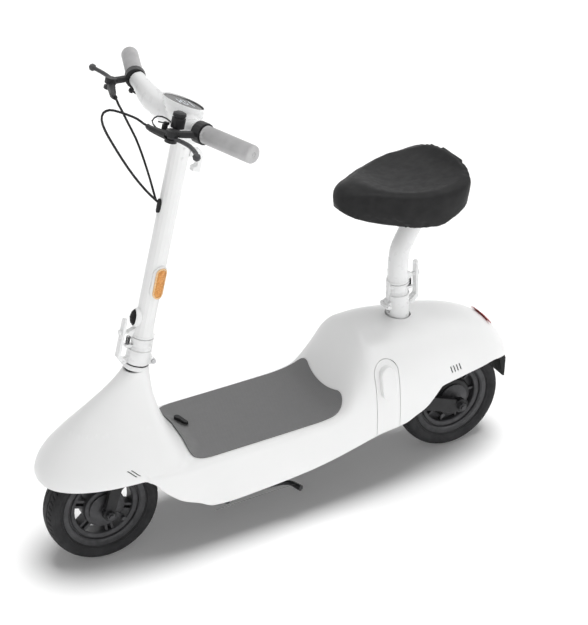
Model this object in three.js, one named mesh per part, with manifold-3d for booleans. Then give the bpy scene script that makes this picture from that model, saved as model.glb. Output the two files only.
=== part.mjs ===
// A seated electric scooter: one smooth moulded body over a low footboard, a raked folding
// stem with a gull-wing bar, a saddle on a folding post, small tyres and a hub motor behind.
// Millimetres. X runs forward, Y to the rider's left and Z up, with Z = 0 on the ground.
import * as THREE from 'three';
import { mergeVertices } from 'three/addons/utils/BufferGeometryUtils.js';
import Module from 'manifold-3d';

const wasm = await Module();
wasm.setup();

// Wheels and steering
const wheelbase = 866;
const tyreRadius = 127;
const tyreHalfWidth = 31;
const tyreFlat = 26;
const rimRadius = 90;
const rimWall = 6;
const spokeCount = 5;
const spokeWidth = 15;
const spokeThickness = 12;
const rakeDegrees = 16;
const axleLead = 17;
const seamHeight = 398;
const barHeight = 902;
const barHalfWidth = 291;

// Body
const tailOverhang = 141;
const noseOverhang = 132;
const deckHeight = 236;
const humpHeight = 384;
const bodyHalfWidth = 133;
const deckLip = 8;
const bodyWall = 4;
const sillTuck = 17;
const bodyFloor = 98;
const neckX = 327;
const neckDrop = 71.6;
const neckRadius = 27.5;
const noseHalfWidth = 121;
const noseRim = 233;
const seatPostX = -303;

// Fits, cuts and fineness
const gap = 0.3;
const seam = 0.7;
const overrun = 20;
const roundSides = 18;
const wheelSides = 28;
const mediumRadius = 20;
const smallRadius = 8;
const weld = 1e-4;
const fineness = 0.1;

// Places that the sizes above set
const frontAxleX = wheelbase / 2;
const rearAxleX = -wheelbase / 2;
const tailX = rearAxleX - tailOverhang;
const noseX = frontAxleX + noseOverhang;
const bodyLength = noseX - tailX;
const rake = THREE.MathUtils.degToRad(rakeDegrees);
const steerX = frontAxleX - axleLead * Math.cos(rake);
const steerZ = tyreRadius - axleLead * Math.sin(rake);
const neckTop = steerZ + (seamHeight - neckDrop) * Math.cos(rake);

// Finishes
function paint(color, roughness, metalness) {
  return new THREE.MeshStandardMaterial({ color, roughness, metalness });
}
const white = paint(0xeeeeee, 0.35, 0);
const whiteMetal = paint(0xe9e9e9, 0.4, 0.2);
const blackPlastic = paint(0x1c1c1e, 0.6, 0);
const charcoal = paint(0x303134, 0.5, 0.5);
const rubber = paint(0x1a1a1a, 0.85, 0);
const matGrey = paint(0x6f6f70, 0.9, 0);
const gripGrey = paint(0x9b9b9a, 0.8, 0);
const saddleBlack = paint(0x303032, 0.75, 0);
const steel = paint(0x9a9ca0, 0.35, 0.9);
const amber = paint(0xe8922a, 0.25, 0);
const red = paint(0xc3252c, 0.25, 0);
const glassBlack = paint(0x08090b, 0.1, 0);
const frameBlack = paint(0x26272a, 0.55, 0.4);

// Solids: a welded triangle mesh that faces out, joins and cuts

function closed(geometry) {
  const bare = geometry.clone();
  bare.deleteAttribute('normal');
  bare.deleteAttribute('uv');
  const welded = mergeVertices(bare, weld);
  const place = welded.attributes.position;
  const corner = [new THREE.Vector3(), new THREE.Vector3(), new THREE.Vector3()];
  const faces = [];
  let volume = 0;
  for (let k = 0; k < welded.index.count; k += 3) {
    const [a, b, c] = [0, 1, 2].map((step) => welded.index.getX(k + step));
    if (a === b || b === c || c === a) continue;
    faces.push([a, b, c]);
    [a, b, c].forEach((vertex, side) => corner[side].fromBufferAttribute(place, vertex));
    volume += corner[0].dot(corner[1].cross(corner[2]));
  }
  welded.setIndex(faces.flatMap(([a, b, c]) => (volume < 0 ? [a, c, b] : [a, b, c])));
  return welded;
}

function toSolid(geometry) {
  const mesh = closed(geometry);
  return new wasm.Manifold(new wasm.Mesh({
    numProp: 3,
    vertProperties: new Float32Array(mesh.attributes.position.array),
    triVerts: new Uint32Array(mesh.index.array),
  }));
}

function toGeometry(solid) {
  const mesh = solid.simplify(fineness).getMesh();
  const geometry = new THREE.BufferGeometry();
  geometry.setAttribute('position', new THREE.BufferAttribute(new Float32Array(mesh.vertProperties), 3));
  geometry.setIndex(Array.from(mesh.triVerts));
  return geometry;
}

function join(...pieces) {
  return toGeometry(pieces.map(toSolid).reduce((whole, piece) => whole.add(piece)));
}

function cut(piece, ...tools) {
  return toGeometry(tools.map(toSolid).reduce((rest, tool) => rest.subtract(tool), toSolid(piece)));
}

function common(a, b) {
  return toGeometry(toSolid(a).intersect(toSolid(b)));
}

// Forms

function turned(profile, sides = roundSides) {
  const points = profile.map(([radius, height]) => new THREE.Vector2(radius, height));
  return new THREE.LatheGeometry(points, sides).rotateX(Math.PI / 2);
}

function sidesFor(radius) {
  if (radius < smallRadius) return 8;
  return radius < mediumRadius ? 12 : roundSides;
}

// A disc or drum along Z from low to high, with an optional bore
function drum(radius, low, high, bore = 0, sides = sidesFor(radius)) {
  const profile = [[bore, low], [radius, low], [radius, high], [bore, high]];
  if (bore > 0) profile.push([bore, low]);
  return turned(profile, sides);
}

function acrossY(geometry) {
  return geometry.rotateX(-Math.PI / 2);
}

function block(low, high) {
  const size = high.map((value, axis) => value - low[axis]);
  const middle = high.map((value, axis) => (value + low[axis]) / 2);
  return new THREE.BoxGeometry(...size).translate(...middle);
}

// An outline in side view, given as [x, z] points, with its thickness along Y
function sidePlate(points, lowY, highY) {
  const shape = new THREE.Shape(points.map(([x, z]) => new THREE.Vector2(x, z)));
  const plate = new THREE.ExtrudeGeometry(shape, { depth: highY - lowY, bevelEnabled: false });
  return plate.rotateX(Math.PI / 2).translate(0, highY, 0);
}

// Points of an oval with straight sides, long along its second axis
function capsulePoints(halfWidth, halfLength, steps = 10) {
  const points = [];
  for (const end of [1, -1]) {
    for (let step = 0; step <= steps; step += 1) {
      const angle = (Math.PI * step) / steps;
      points.push([
        end * halfWidth * Math.cos(angle),
        end * (halfLength - halfWidth + halfWidth * Math.sin(angle)),
      ]);
    }
  }
  return points;
}

// A skin over rings that all have the same number of points, with flat or coned ends
function loft(rings) {
  const count = rings[0].length;
  const points = rings.flat();
  const faces = [];
  for (let row = 0; row < rings.length - 1; row += 1) {
    for (let k = 0; k < count; k += 1) {
      const a = row * count + k;
      const b = row * count + ((k + 1) % count);
      faces.push([a, b, b + count], [a, b + count, a + count]);
    }
  }
  for (const [row, turn] of [[0, 1], [rings.length - 1, -1]]) {
    const middle = new THREE.Vector3();
    rings[row].forEach((point) => middle.add(point));
    const hub = points.push(middle.divideScalar(count)) - 1;
    for (let k = 0; k < count; k += 1) {
      const a = row * count + k;
      const b = row * count + ((k + 1) % count);
      faces.push(turn > 0 ? [b, a, hub] : [a, b, hub]);
    }
  }
  const geometry = new THREE.BufferGeometry();
  const places = new Float32Array(points.flatMap((point) => point.toArray()));
  geometry.setAttribute('position', new THREE.BufferAttribute(places, 3));
  geometry.setIndex(faces.flat());
  return geometry;
}

// A round bar along a smooth path, with a radius at each path point
function bar(path, radii, sides = 12, steps = (path.length - 1) * 4) {
  const curve = new THREE.CatmullRomCurve3(path.map((point) => new THREE.Vector3(...point)));
  const rings = [];
  let side = new THREE.Vector3(0, 0, 1);
  for (let step = 0; step <= steps; step += 1) {
    const along = step / steps;
    const centre = curve.getPoint(along);
    const ahead = curve.getTangent(along);
    side = side.clone().addScaledVector(ahead, -side.dot(ahead)).normalize();
    if (side.lengthSq() < weld) side = new THREE.Vector3(1, 0, 0).addScaledVector(ahead, -ahead.x).normalize();
    const across = ahead.clone().cross(side);
    const place = along * (path.length - 1);
    const first = Math.min(Math.floor(place), path.length - 2);
    const radius = THREE.MathUtils.lerp(radii[first], radii[first + 1], place - first);
    const ring = [];
    for (let k = 0; k < sides; k += 1) {
      const angle = (2 * Math.PI * k) / sides;
      ring.push(centre.clone()
        .addScaledVector(side, radius * Math.cos(angle))
        .addScaledVector(across, radius * Math.sin(angle)));
    }
    rings.push(ring);
  }
  return loft(rings);
}

function rod(from, to, radius, sides = 12) {
  return bar([from, to], [radius, radius], sides, 1);
}

// A turned form moved so that its axis starts at a point and runs along a direction
function aimed(geometry, from, direction) {
  const turn = new THREE.Quaternion().setFromUnitVectors(
    new THREE.Vector3(0, 0, 1), new THREE.Vector3(...direction).normalize());
  return geometry.applyQuaternion(turn).translate(...from);
}

function mirrored(geometry) {
  return geometry.clone().scale(1, -1, 1);
}

// Smooth values between the rows of a table whose first column rises
function rowAt(rows, place) {
  let k = 0;
  while (k < rows.length - 2 && rows[k + 1][0] < place) k += 1;
  const width = rows[k + 1][0] - rows[k][0];
  const t = THREE.MathUtils.clamp((place - rows[k][0]) / width, 0, 1);
  const rise = (row, column) => {
    if (row < 0 || row > rows.length - 2) return 0;
    return (rows[row + 1][column] - rows[row][column]) / (rows[row + 1][0] - rows[row][0]);
  };
  const slope = (row, column) => {
    const before = rise(row - 1, column);
    const after = rise(row, column);
    return before * after > 0 ? (2 * before * after) / (before + after) : 0;
  };
  return rows[k].map((value, column) => {
    const next = rows[k + 1][column];
    const blend = t * t * (3 - 2 * t);
    const leave = slope(k, column) * width * t * (1 - t) * (1 - t);
    const arrive = slope(k + 1, column) * width * t * t * (1 - t);
    return value + (next - value) * blend + leave - arrive;
  });
}

// The body's surface

// From the tail to the nose: place along the body, then the top as a share of the rise from
// deckHeight to humpHeight, the half width of bodyHalfWidth, the widest height of deckHeight, and
// how square the section is
const bodyShares = [
  [0.0000, -0.1027, 0.10, 0.92, 2.2],
  [0.0030, 0.0270, 0.22, 0.92, 2.2],
  [0.0120, 0.1957, 0.38, 0.93, 2.2],
  [0.0300, 0.3903, 0.55, 0.94, 2.2],
  [0.0560, 0.5849, 0.69, 0.95, 2.3],
  [0.0910, 0.7276, 0.79, 0.97, 2.4],
  [0.1350, 0.8391, 0.865, 0.98, 2.5],
  [0.1970, 0.9351, 0.925, 0.98, 2.6],
  [0.2490, 0.9818, 0.955, 0.97, 2.7],
  [0.3020, 1.0130, 0.975, 0.96, 2.9],
  [0.3370, 1.0078, 0.985, 0.95, 2.9],
  [0.3560, 0.9481, 0.99, 0.94, 2.9],
  [0.3720, 0.7795, 0.99, 0.93, 2.9],
  [0.3880, 0.5459, 0.99, 0.92, 3.2],
  [0.4060, 0.2865, 0.99, 0.90, 4.2],
  [0.4230, 0.1178, 0.99, 0.88, 5.5],
  [0.4425, 0.0400, 0.99, 0.86, 7.0],
  [0.4776, 0.0192, 0.99, 0.85, 7.0],
  [0.5740, 0.0166, 0.985, 0.85, 7.0],
  [0.6800, 0.0166, 0.985, 0.86, 7.0],
  [0.7340, 0.0218, 0.98, 0.88, 6.0],
  [0.7670, 0.0296, 0.97, 0.91, 5.0],
  [0.8020, 0.0296, 0.95, 0.95, 4.0],
  [0.8240, 0.0296, 0.935, 0.98, 3.0],
  [1.0000, 0.0141, 0.50, 0.987, 2.4],
];
// The lower edge of the body: place along it, then height as a share of deckHeight
const underShares = [
  [0.000, 0.905],
  [0.030, 0.985],
  [0.075, 1.045],
  [0.120, 1.045],
  [0.160, 1.035],
  [0.197, 1.020],
  [0.213, 0.950],
  [0.236, 0.845],
  [0.262, 0.787],
  [0.285, 0.740],
  [0.340, 0.715],
  [0.400, 0.645],
  [0.430, 0.610],
  [0.470, 0.570],
  [0.500, 0.545],
  [0.580, 0.505],
  [0.660, 0.485],
  [0.700, 0.505],
  [0.727, 0.585],
  [0.764, 0.680],
  [0.792, 0.805],
  [0.820, 0.960],
  [0.835, 0.987],
  [1.000, 0.987],
];
const slicesPerRing = 16;
const innerSlices = 8;
const foldSides = 16;
const neckFewer = 8;
const wallRows = 2;
const noseStart = 0.16;
const neckBlend = 16;
const humpSquare = 3;
const deckSquare = 7;

function along(x) {
  return (x - tailX) / bodyLength;
}

function underEdge(x) {
  return rowAt(underShares, along(x))[1] * deckHeight;
}

// The nose and neck are a bell of level slices: depth 0 is the neck's top and 1 the rim
function bellSlice(depth, inset) {
  const bulge = Math.sin((Math.PI / 2) * depth ** 1.15);
  const flare = ((1 - Math.cos(Math.PI * depth)) / 2) ** 1.1;
  const rearReach = neckX - (tailX + bodyLength * 0.725);
  return {
    front: neckRadius + (noseX - neckX - neckRadius) * bulge - inset,
    rear: neckRadius + rearReach * depth ** 3 - inset,
    side: neckRadius + (noseHalfWidth - neckRadius) * flare - inset,
    square: 2 + 0.4 * depth,
  };
}

function bellReach(depth, x, y, inset) {
  const slice = bellSlice(depth, inset);
  const lengthwise = Math.abs(x - neckX) / (x > neckX ? slice.front : slice.rear);
  return lengthwise ** slice.square + Math.abs(y / slice.side) ** slice.square;
}

function bellHeight(x, y, inset) {
  const rimReach = bellReach(1, x, y, inset);
  const height = neckTop - noseRim;
  if (rimReach > 1) return noseRim - inset - (rimReach - 1) * height / 3;
  if (bellReach(0, x, y, inset) < 1) return neckTop - inset;
  let [inside, outside] = [1, 0];
  for (let step = 0; step < 30; step += 1) {
    const middle = (inside + outside) / 2;
    if (bellReach(middle, x, y, inset) <= 1) inside = middle;
    else outside = middle;
  }
  return neckTop - height * inside - inset;
}

function smoothMax(a, b, blend) {
  const share = Math.max(blend - Math.abs(a - b), 0) / blend;
  return Math.max(a, b) + (share * share * blend) / 4;
}

function noseRimHalf(x, inset) {
  const slice = bellSlice(1, inset);
  const lengthwise = Math.min((x - neckX) / slice.front, 1);
  return slice.side * (1 - lengthwise ** slice.square) ** (1 / slice.square);
}

// Half width, top and squareness of the body's section at x, moved in by an inset
function sectionAt(x, inset) {
  const [, top, width, side, square] = rowAt(bodyShares, along(x));
  const inNose = x > neckX + (noseX - neckX) * noseStart;
  return {
    half: inNose ? noseRimHalf(x, inset) : width * bodyHalfWidth - inset,
    top: deckHeight + top * (humpHeight - deckHeight) - inset,
    side: side * deckHeight,
    square,
  };
}

// The section's top: an arch as square as its table row says, dished where it is a flat deck
function archHeight(section, across) {
  const dome = (1 - across ** section.square) ** (1 / section.square);
  const dish = THREE.MathUtils.clamp((section.square - humpSquare) / (deckSquare - humpSquare), 0, 1);
  return section.side + (section.top - section.side) * dome + deckLip * dish * dome * across ** 4;
}

function bodyRing(x, inset, slices) {
  const section = sectionAt(x, inset);
  const power = 2 / section.square;
  const ring = [];
  const bottom = bodyFloor - inset;
  const tuck = Math.min(sillTuck, section.half / 2);
  const wall = (row, turn) => {
    const down = row / wallRows;
    const y = section.half - tuck * down * down;
    const z = section.side + (bottom - section.side) * down;
    return new THREE.Vector3(x, turn * y, z);
  };
  for (let row = wallRows; row > 0; row -= 1) ring.push(wall(row, -1));
  for (let step = 0; step <= slices; step += 1) {
    const angle = Math.PI * (step / slices - 0.5);
    const across = Math.abs(Math.sin(angle)) ** power;
    const y = section.half * Math.sign(angle) * across;
    const bell = Math.min(bellHeight(x, y, inset), towerStart - inset);
    ring.push(new THREE.Vector3(x, y, smoothMax(archHeight(section, across), bell, neckBlend)));
  }
  for (let row = 1; row <= wallRows; row += 1) ring.push(wall(row, 1));
  return ring;
}
// Above this height the neck is built from its own level slices
const towerStart = noseRim + (neckTop - noseRim) * 0.5;

// Stations along the body, close together where it curves
const stationShares = [
  0, 0.004, 0.013, 0.03, 0.06, 0.105, 0.165, 0.235, 0.31, 0.345, 0.362, 0.378, 0.392, 0.407, 0.425,
  0.45, 0.57, 0.68, 0.71, 0.73, 0.75, 0.77, 0.79, 0.81, 0.835, 0.87, 0.905, 0.94, 0.965, 0.985,
  0.996, 0.99999,
];

function neckTower(inset, top, sides) {
  const rings = [];
  const rows = 7;
  const lowest = 0.62;
  for (let row = 0; row <= rows; row += 1) {
    const depth = lowest * (1 - row / rows) ** 1.3;
    const slice = bellSlice(depth, inset);
    const z = neckTop - (neckTop - noseRim) * depth - inset;
    const ring = [];
    for (let k = 0; k < sides; k += 1) {
      const angle = (2 * Math.PI * k) / sides;
      const power = 2 / slice.square;
      const cos = Math.sign(Math.cos(angle)) * Math.abs(Math.cos(angle)) ** power;
      const sin = Math.sign(Math.sin(angle)) * Math.abs(Math.sin(angle)) ** power;
      ring.push(new THREE.Vector3(neckX + cos * (cos > 0 ? slice.front : slice.rear), sin * slice.side, z));
    }
    rings.push(ring);
  }
  const last = rings[rings.length - 1];
  rings.push(last.map((point) => new THREE.Vector3(point.x, point.y, top)));
  return loft(rings);
}

function bodySolid(inset, slices = slicesPerRing) {
  const length = bodyLength - 2 * inset;
  const hull = loft(stationShares.map((share) => bodyRing(tailX + inset + length * share, inset, slices)));
  return join(hull, neckTower(inset, neckTop - Math.min(inset, 0), 2 * slices - neckFewer));
}

// Everything under the body's lower edge, raised by a lift
function underSpace(lift = 0) {
  const points = [];
  const steps = 44;
  for (let step = 0; step <= steps; step += 1) {
    const x = tailX + (bodyLength * step) / steps;
    points.push([x, underEdge(x) + lift]);
  }
  points.push([noseX + overrun, points[steps][1]], [noseX + overrun, bodyFloor - 3 * overrun]);
  points.push([tailX - overrun, bodyFloor - 3 * overrun], [tailX - overrun, points[0][1]]);
  return sidePlate(points, -bodyHalfWidth - overrun, bodyHalfWidth + overrun);
}

// Groups: the steered parts stand on the raked steering axis, level with the front axle
const scooter = new THREE.Group();
const steering = new THREE.Group();
steering.position.set(steerX, 0, steerZ);
steering.rotation.y = -rake;
scooter.add(steering);

function part(name, geometry, material, holder = scooter) {
  const mesh = new THREE.Mesh(closed(geometry), material);
  mesh.geometry.computeVertexNormals();
  mesh.name = name;
  holder.add(mesh);
  return mesh;
}

// A form drawn about the steering axis, moved into the body's frame
function fromSteering(geometry) {
  return geometry.rotateY(-rake).translate(steerX, 0, steerZ);
}

// Body shell, its panels and vents

const panelHalfWidth = 29;
const panelX = -204;
const panelTop = 345;
const padHalfWidth = 15;
const padHalfHeight = 37;
const padZ = 296;
const padRise = 6;
const ventCount = 4;
const ventPitch = 8;
const ventWidth = 3;
const ventLength = 17;
const ventLean = 5;
const ventX = -374;
const ventZ = 272;
const noseVentCount = 2;
const noseVentX = 396;
const noseVentZ = 257;
const seatHoleRadius = 29;

const outerBody = bodySolid(0);
const innerBody = bodySolid(bodyWall, innerSlices);
const bodySkin = cut(outerBody, innerBody, underSpace());

// The side panel's outline: straight sides up to a half-round top
function panelOutline(grow) {
  const half = panelHalfWidth + grow;
  const points = [[panelX + half, bodyFloor], [panelX + half, panelTop - panelHalfWidth]];
  const arcSteps = 12;
  for (let step = 1; step <= arcSteps; step += 1) {
    const angle = (Math.PI * step) / arcSteps;
    points.push([panelX + half * Math.cos(angle), panelTop - panelHalfWidth + half * Math.sin(angle)]);
  }
  points.push([panelX - half, bodyFloor]);
  return points;
}

const panelSpan = bodyHalfWidth + overrun;
const panelDepth = bodyHalfWidth / 2;

function ventSlots(count, firstX, middleZ, lean) {
  return Array.from({ length: count }, (_, slot) => {
    const x = firstX - slot * ventPitch;
    const half = ventLength / 2;
    return sidePlate([
      [x + lean, middleZ - half],
      [x + lean + ventWidth, middleZ - half],
      [x - lean + ventWidth, middleZ + half],
      [x - lean, middleZ + half],
    ], -panelSpan, panelSpan);
  });
}

const tailVents = ventSlots(ventCount, ventX, ventZ, ventLean);
const noseVents = ventSlots(noseVentCount, noseVentX, noseVentZ, -ventLength / 2);
const panelWindow = sidePlate(panelOutline(seam), -panelSpan, panelSpan);
const panelHollow = block([tailX, -panelDepth, 0], [noseX, panelDepth, 2 * humpHeight]);
const seatHole = drum(seatHoleRadius, deckHeight, 2 * humpHeight).translate(seatPostX, 0, 0);
part('body_shell', cut(bodySkin, cut(panelWindow, panelHollow), seatHole, ...tailVents, ...noseVents), white);

const panelPlate = sidePlate(panelOutline(0), panelDepth, panelSpan);
const sidePanel = common(bodySkin, panelPlate);
part('side_panel_left', sidePanel, white);
part('side_panel_right', mirrored(sidePanel), white);

const padOutline = capsulePoints(padHalfWidth, padHalfHeight).map(([x, z]) => [panelX + x, padZ + z]);
const padBlock = sidePlate(padOutline, panelDepth, panelSpan);
const sidePad = common(cut(bodySolid(-padRise), bodySolid(-gap)), padBlock);
part('side_pad_left', sidePad, white);
part('side_pad_right', mirrored(sidePad), white);

// Footboard mat, with a port cover let into it near the front

const matThickness = 2.5;
const matHalfWidth = 114;
const matFrontX = 256;
const matRearX = -112;
const matCorner = 42;
const matHollow = 8;
const matSteps = 8;
const coverX = 221;
const coverY = -34;
const coverTurnDegrees = 20;
const coverHalfWidth = 6;
const coverHalfLength = 20;
const coverRise = 4;

// The mat from above: rounded corners and a rear edge that bows forward a little
function matOutline() {
  const shape = new THREE.Shape();
  const bend = matCorner * 0.3;
  shape.moveTo(matRearX + matHollow, 0);
  shape.quadraticCurveTo(matRearX + matHollow, matHalfWidth / 3, matRearX, matHalfWidth - matCorner);
  shape.bezierCurveTo(
    matRearX - matHollow / 2, matHalfWidth - bend, matRearX + bend, matHalfWidth,
    matRearX + matCorner, matHalfWidth);
  shape.lineTo(matFrontX - matCorner, matHalfWidth);
  shape.bezierCurveTo(
    matFrontX - bend, matHalfWidth, matFrontX, matHalfWidth - bend, matFrontX, matHalfWidth - matCorner);
  const points = shape.getPoints(matSteps);
  const mirror = points.map((point) => new THREE.Vector2(point.x, -point.y)).reverse();
  return new THREE.Shape([...points, ...mirror.slice(0, -1)]);
}

const matPrism = new THREE.ExtrudeGeometry(matOutline(), { depth: 2 * deckHeight, bevelEnabled: false });
const matSolid = common(cut(bodySolid(-gap - matThickness), bodySolid(-gap)), matPrism);
const coverShape = new THREE.Shape(capsulePoints(coverHalfWidth, coverHalfLength, 6).map(
  ([x, y]) => new THREE.Vector2(x, y)));
const coverTurn = THREE.MathUtils.degToRad(coverTurnDegrees);
const coverPrism = new THREE.ExtrudeGeometry(coverShape, { depth: 2 * deckHeight, bevelEnabled: false })
  .rotateZ(coverTurn)
  .translate(coverX, coverY, 0);
const coverLow = gap + matThickness + gap;
part('deck_mat', matSolid, matGrey);
part('port_cover', common(cut(bodySolid(-coverLow - coverRise), bodySolid(-coverLow)), coverPrism), rubber);

// Belly pan, closing the body between the wheels, with the frame's rails on it

const panFrontX = 292;
const panRearX = -244;
const panDrop = 1;
const panThickness = 3;
const railInner = 52;
const railOuter = 66;
const railHeight = 28;
const railFrontX = 226;
const railSteps = 9;

// A strip in side view that follows the body's lower edge between two heights above it
function edgeStrip(fromX, toX, low, high, lowY, highY) {
  const under = [];
  const over = [];
  for (let step = 0; step <= railSteps; step += 1) {
    const x = fromX + ((toX - fromX) * step) / railSteps;
    under.push([x, underEdge(x) + low]);
    over.unshift([x, underEdge(x) + high]);
  }
  return sidePlate([...under, ...over], lowY, highY);
}

const insideBody = bodySolid(bodyWall + gap, innerSlices);
const panStrip = edgeStrip(panRearX, panFrontX, panDrop, panDrop + panThickness, -panelSpan, panelSpan);
part('belly_pan', common(insideBody, panStrip), blackPlastic);

// Frame: head tube, gusset, rails, seat tower and the rear arms, welded into one

const axleRadius = 6;
const armEyeRadius = 17;
const headTubeRadius = 24;
const headTubeBore = 17;
const headTubeLow = 171.3;
const headTubeHigh = seamHeight - 110;
const gussetHalf = 16;
const towerHalf = 20;
const towerTop = 372;
const frontBeamLow = deckHeight * 0.479;
const frontBeamDepth = 27;
const frontBeamLength = 30;
// Outlines as shares of half the wheelbase and of deckHeight
const gussetShares = [
  [0.797, 1.52], [0.808, 1.199], [0.734, 1.165], [0.684, 1.11], [0.619, 0.983], [0.522, 0.593],
  [0.522, 0.479], [0.453, 0.479], [0.453, 0.593], [0.564, 0.941], [0.622, 1.076], [0.69, 1.271],
  [0.736, 1.52],
];
const armShares = [
  [-0.52, 0.826], [-0.693, 0.835], [-0.97, 0.625], [-0.97, 0.475], [-0.7, 0.68], [-0.52, 0.72],
];
const rearBeamShares = [[-0.66, 0.79], [-0.66, 0.87], [-0.577, 0.87], [-0.577, 0.79]];
const towerShares = [
  [-0.577, 0.79], [-0.577, 0.911], [-0.651, 1.271], [-0.651, 1.576], [-0.743, 1.576], [-0.743, 1.06],
  [-0.658, 0.847], [-0.658, 0.79],
];

function frameOutline(shares) {
  return shares.map(([length, height]) => [length * frontAxleX, height * deckHeight]);
}

function mainFrame() {
  const railLow = panDrop + panThickness + gap;
  const rail = join(
    edgeStrip(panRearX, railFrontX, railLow, railLow + railHeight, railInner, railOuter),
    sidePlate(frameOutline(armShares), railInner, railOuter),
    acrossY(drum(armEyeRadius, railInner, railOuter)).translate(rearAxleX, 0, tyreRadius),
  );
  const frontBeam = block(
    [railFrontX - frontBeamLength, -railOuter, frontBeamLow + gap],
    [railFrontX, railOuter, frontBeamLow + gap + frontBeamDepth],
  );
  const whole = join(
    rail,
    mirrored(rail),
    frontBeam,
    sidePlate(frameOutline(rearBeamShares), -railOuter, railOuter),
    sidePlate(frameOutline(towerShares), -towerHalf, towerHalf),
    sidePlate(frameOutline(gussetShares), -gussetHalf, gussetHalf),
    fromSteering(drum(headTubeRadius, headTubeLow, headTubeHigh)),
  );
  const headBore = fromSteering(drum(headTubeBore, headTubeLow - overrun, headTubeHigh + overrun));
  const axleBore = acrossY(drum(axleRadius + gap, -railOuter - overrun, railOuter + overrun, 0, roundSides))
    .translate(rearAxleX, 0, tyreRadius);
  const aboveHead = fromSteering(drum(2 * headTubeRadius, headTubeHigh, headTubeHigh + 3 * overrun));
  const frameHalf = railOuter + overrun;
  const pan = edgeStrip(panRearX, panFrontX, -panThickness * 3, railLow, -frameHalf, frameHalf);
  return cut(whole, headBore, axleBore, aboveHead, pan);
}
part('main_frame', mainFrame(), frameBlack);

const steererRadius = 13;
const bearingHeight = 10;
function headBearing(low) {
  return drum(headTubeBore - gap, low, low + bearingHeight, steererRadius + 2 * gap);
}
part('head_bearing_lower', headBearing(headTubeLow), steel, steering);
part('head_bearing_upper', headBearing(headTubeHigh - bearingHeight), steel, steering);

// Battery and controller between the rails

const batteryFrontX = 188;
const batteryRearX = -40;
const batteryHalf = 49;
const batteryTop = deckHeight - 31;
const controllerFrontX = -48;
const controllerRearX = -116;
const controllerHalf = 36;
const controllerHeight = 36;
const panTop = panDrop + panThickness + gap;
const batteryLow = underEdge(batteryRearX) + panTop - panDrop;
const batteryCorner = 8;
function softBlock(lowX, highX, half, low, high, corner) {
  return sidePlate([
    [lowX + corner, low], [highX - corner, low], [highX, low + corner], [highX, high - corner],
    [highX - corner, high], [lowX + corner, high], [lowX, high - corner], [lowX, low + corner],
  ], -half, half);
}
part('battery_pack', softBlock(
  batteryRearX, batteryFrontX, batteryHalf, batteryLow, batteryTop, batteryCorner), blackPlastic);
const controllerLow = underEdge(controllerRearX + batteryCorner / 2) + panTop;
part('motor_controller', softBlock(
  controllerRearX, controllerFrontX, controllerHalf, controllerLow, controllerLow + controllerHeight,
  batteryCorner / 2), charcoal);

// Wheel liners: inner mudguards that keep spray out of the body

const linerWall = 3;
const linerTuck = 5;
const linerRadius = 122;
const linerCrown = 168;
const linerHub = 27;
const rearLinerRadius = 141;
const rearLinerHalf = 47;
const rearLinerFromDegrees = 18;
const rearLinerToDegrees = 147;
const rearLinerSteps = 16;
const frontLinerProfile = [
  [linerRadius, -2 * overrun],
  [linerRadius, linerCrown * 0.565],
  [linerRadius * 0.95, linerCrown * 0.7],
  [linerRadius * 0.8, linerCrown * 0.845],
  [linerRadius * 0.615, linerCrown * 0.952],
  [linerRadius * 0.475, linerCrown],
  [linerHub, linerCrown],
];
const frontLinerInner = frontLinerProfile
  .map(([radius, height], k) => [radius - (k < frontLinerProfile.length - 1 ? linerWall : 0),
    height - (k > 0 ? linerWall : 0)])
  .reverse();
const frontLiner = fromSteering(turned([...frontLinerProfile, ...frontLinerInner, frontLinerProfile[0]], 18));
part('front_wheel_liner', cut(common(frontLiner, insideBody), underSpace(linerTuck)), blackPlastic);

function rearLiner() {
  const outer = [];
  const inner = [];
  for (let step = 0; step <= rearLinerSteps; step += 1) {
    const turn = (rearLinerToDegrees - rearLinerFromDegrees) * (step / rearLinerSteps);
    const angle = THREE.MathUtils.degToRad(rearLinerFromDegrees + turn);
    outer.push([rearAxleX + (rearLinerRadius + linerWall) * Math.cos(angle),
      tyreRadius + (rearLinerRadius + linerWall) * Math.sin(angle)]);
    inner.unshift([rearAxleX + rearLinerRadius * Math.cos(angle),
      tyreRadius + rearLinerRadius * Math.sin(angle)]);
  }
  return sidePlate([...outer, ...inner], -rearLinerHalf, rearLinerHalf);
}
const linerTab = 12;
const linerTabHigh = 185;
const linerTabX = -300;
const tabs = block(
  [linerTabX - linerTab, -railInner + gap, linerTabHigh - linerTab],
  [linerTabX + linerTab / 2, railInner - gap, linerTabHigh],
);
part('rear_wheel_liner', common(join(rearLiner(), cut(
  tabs,
  acrossY(drum(rearLinerRadius + linerWall / 2, -railOuter, railOuter, 0, wheelSides))
    .translate(rearAxleX, 0, tyreRadius),
)), insideBody), blackPlastic);

// Tail lamp and mud flap

const lampFrontX = -494;
const lampRearX = -536;
const lampLow = 298;
const lampHigh = 336;
const lampHalf = 46;
const lampRise = 4;
const flapTopX = -561;
const flapTopZ = 222;
const flapDrop = 72;
const flapLean = 14;
const flapThickness = 4;
const flapHalf = 34;
const lampPrism = sidePlate([
  [lampFrontX, lampHigh], [lampRearX, lampHigh], [lampRearX - overrun, lampLow], [lampRearX, lampLow],
], -lampHalf, lampHalf);
part('tail_lamp', common(cut(bodySolid(-lampRise), bodySolid(-gap)), lampPrism), red);
const bumper = 8;
const flapShape = sidePlate([
  [flapTopX, flapTopZ], [flapTopX - flapThickness, flapTopZ], [tailX + gap, flapTopZ - flapDrop * 0.35],
  [flapTopX - flapLean + flapThickness, flapTopZ - flapDrop],
  [flapTopX - flapLean + 2 * flapThickness, flapTopZ - flapDrop],
  [flapTopX + flapThickness, flapTopZ - flapDrop / 3],
], -flapHalf, flapHalf);
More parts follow.
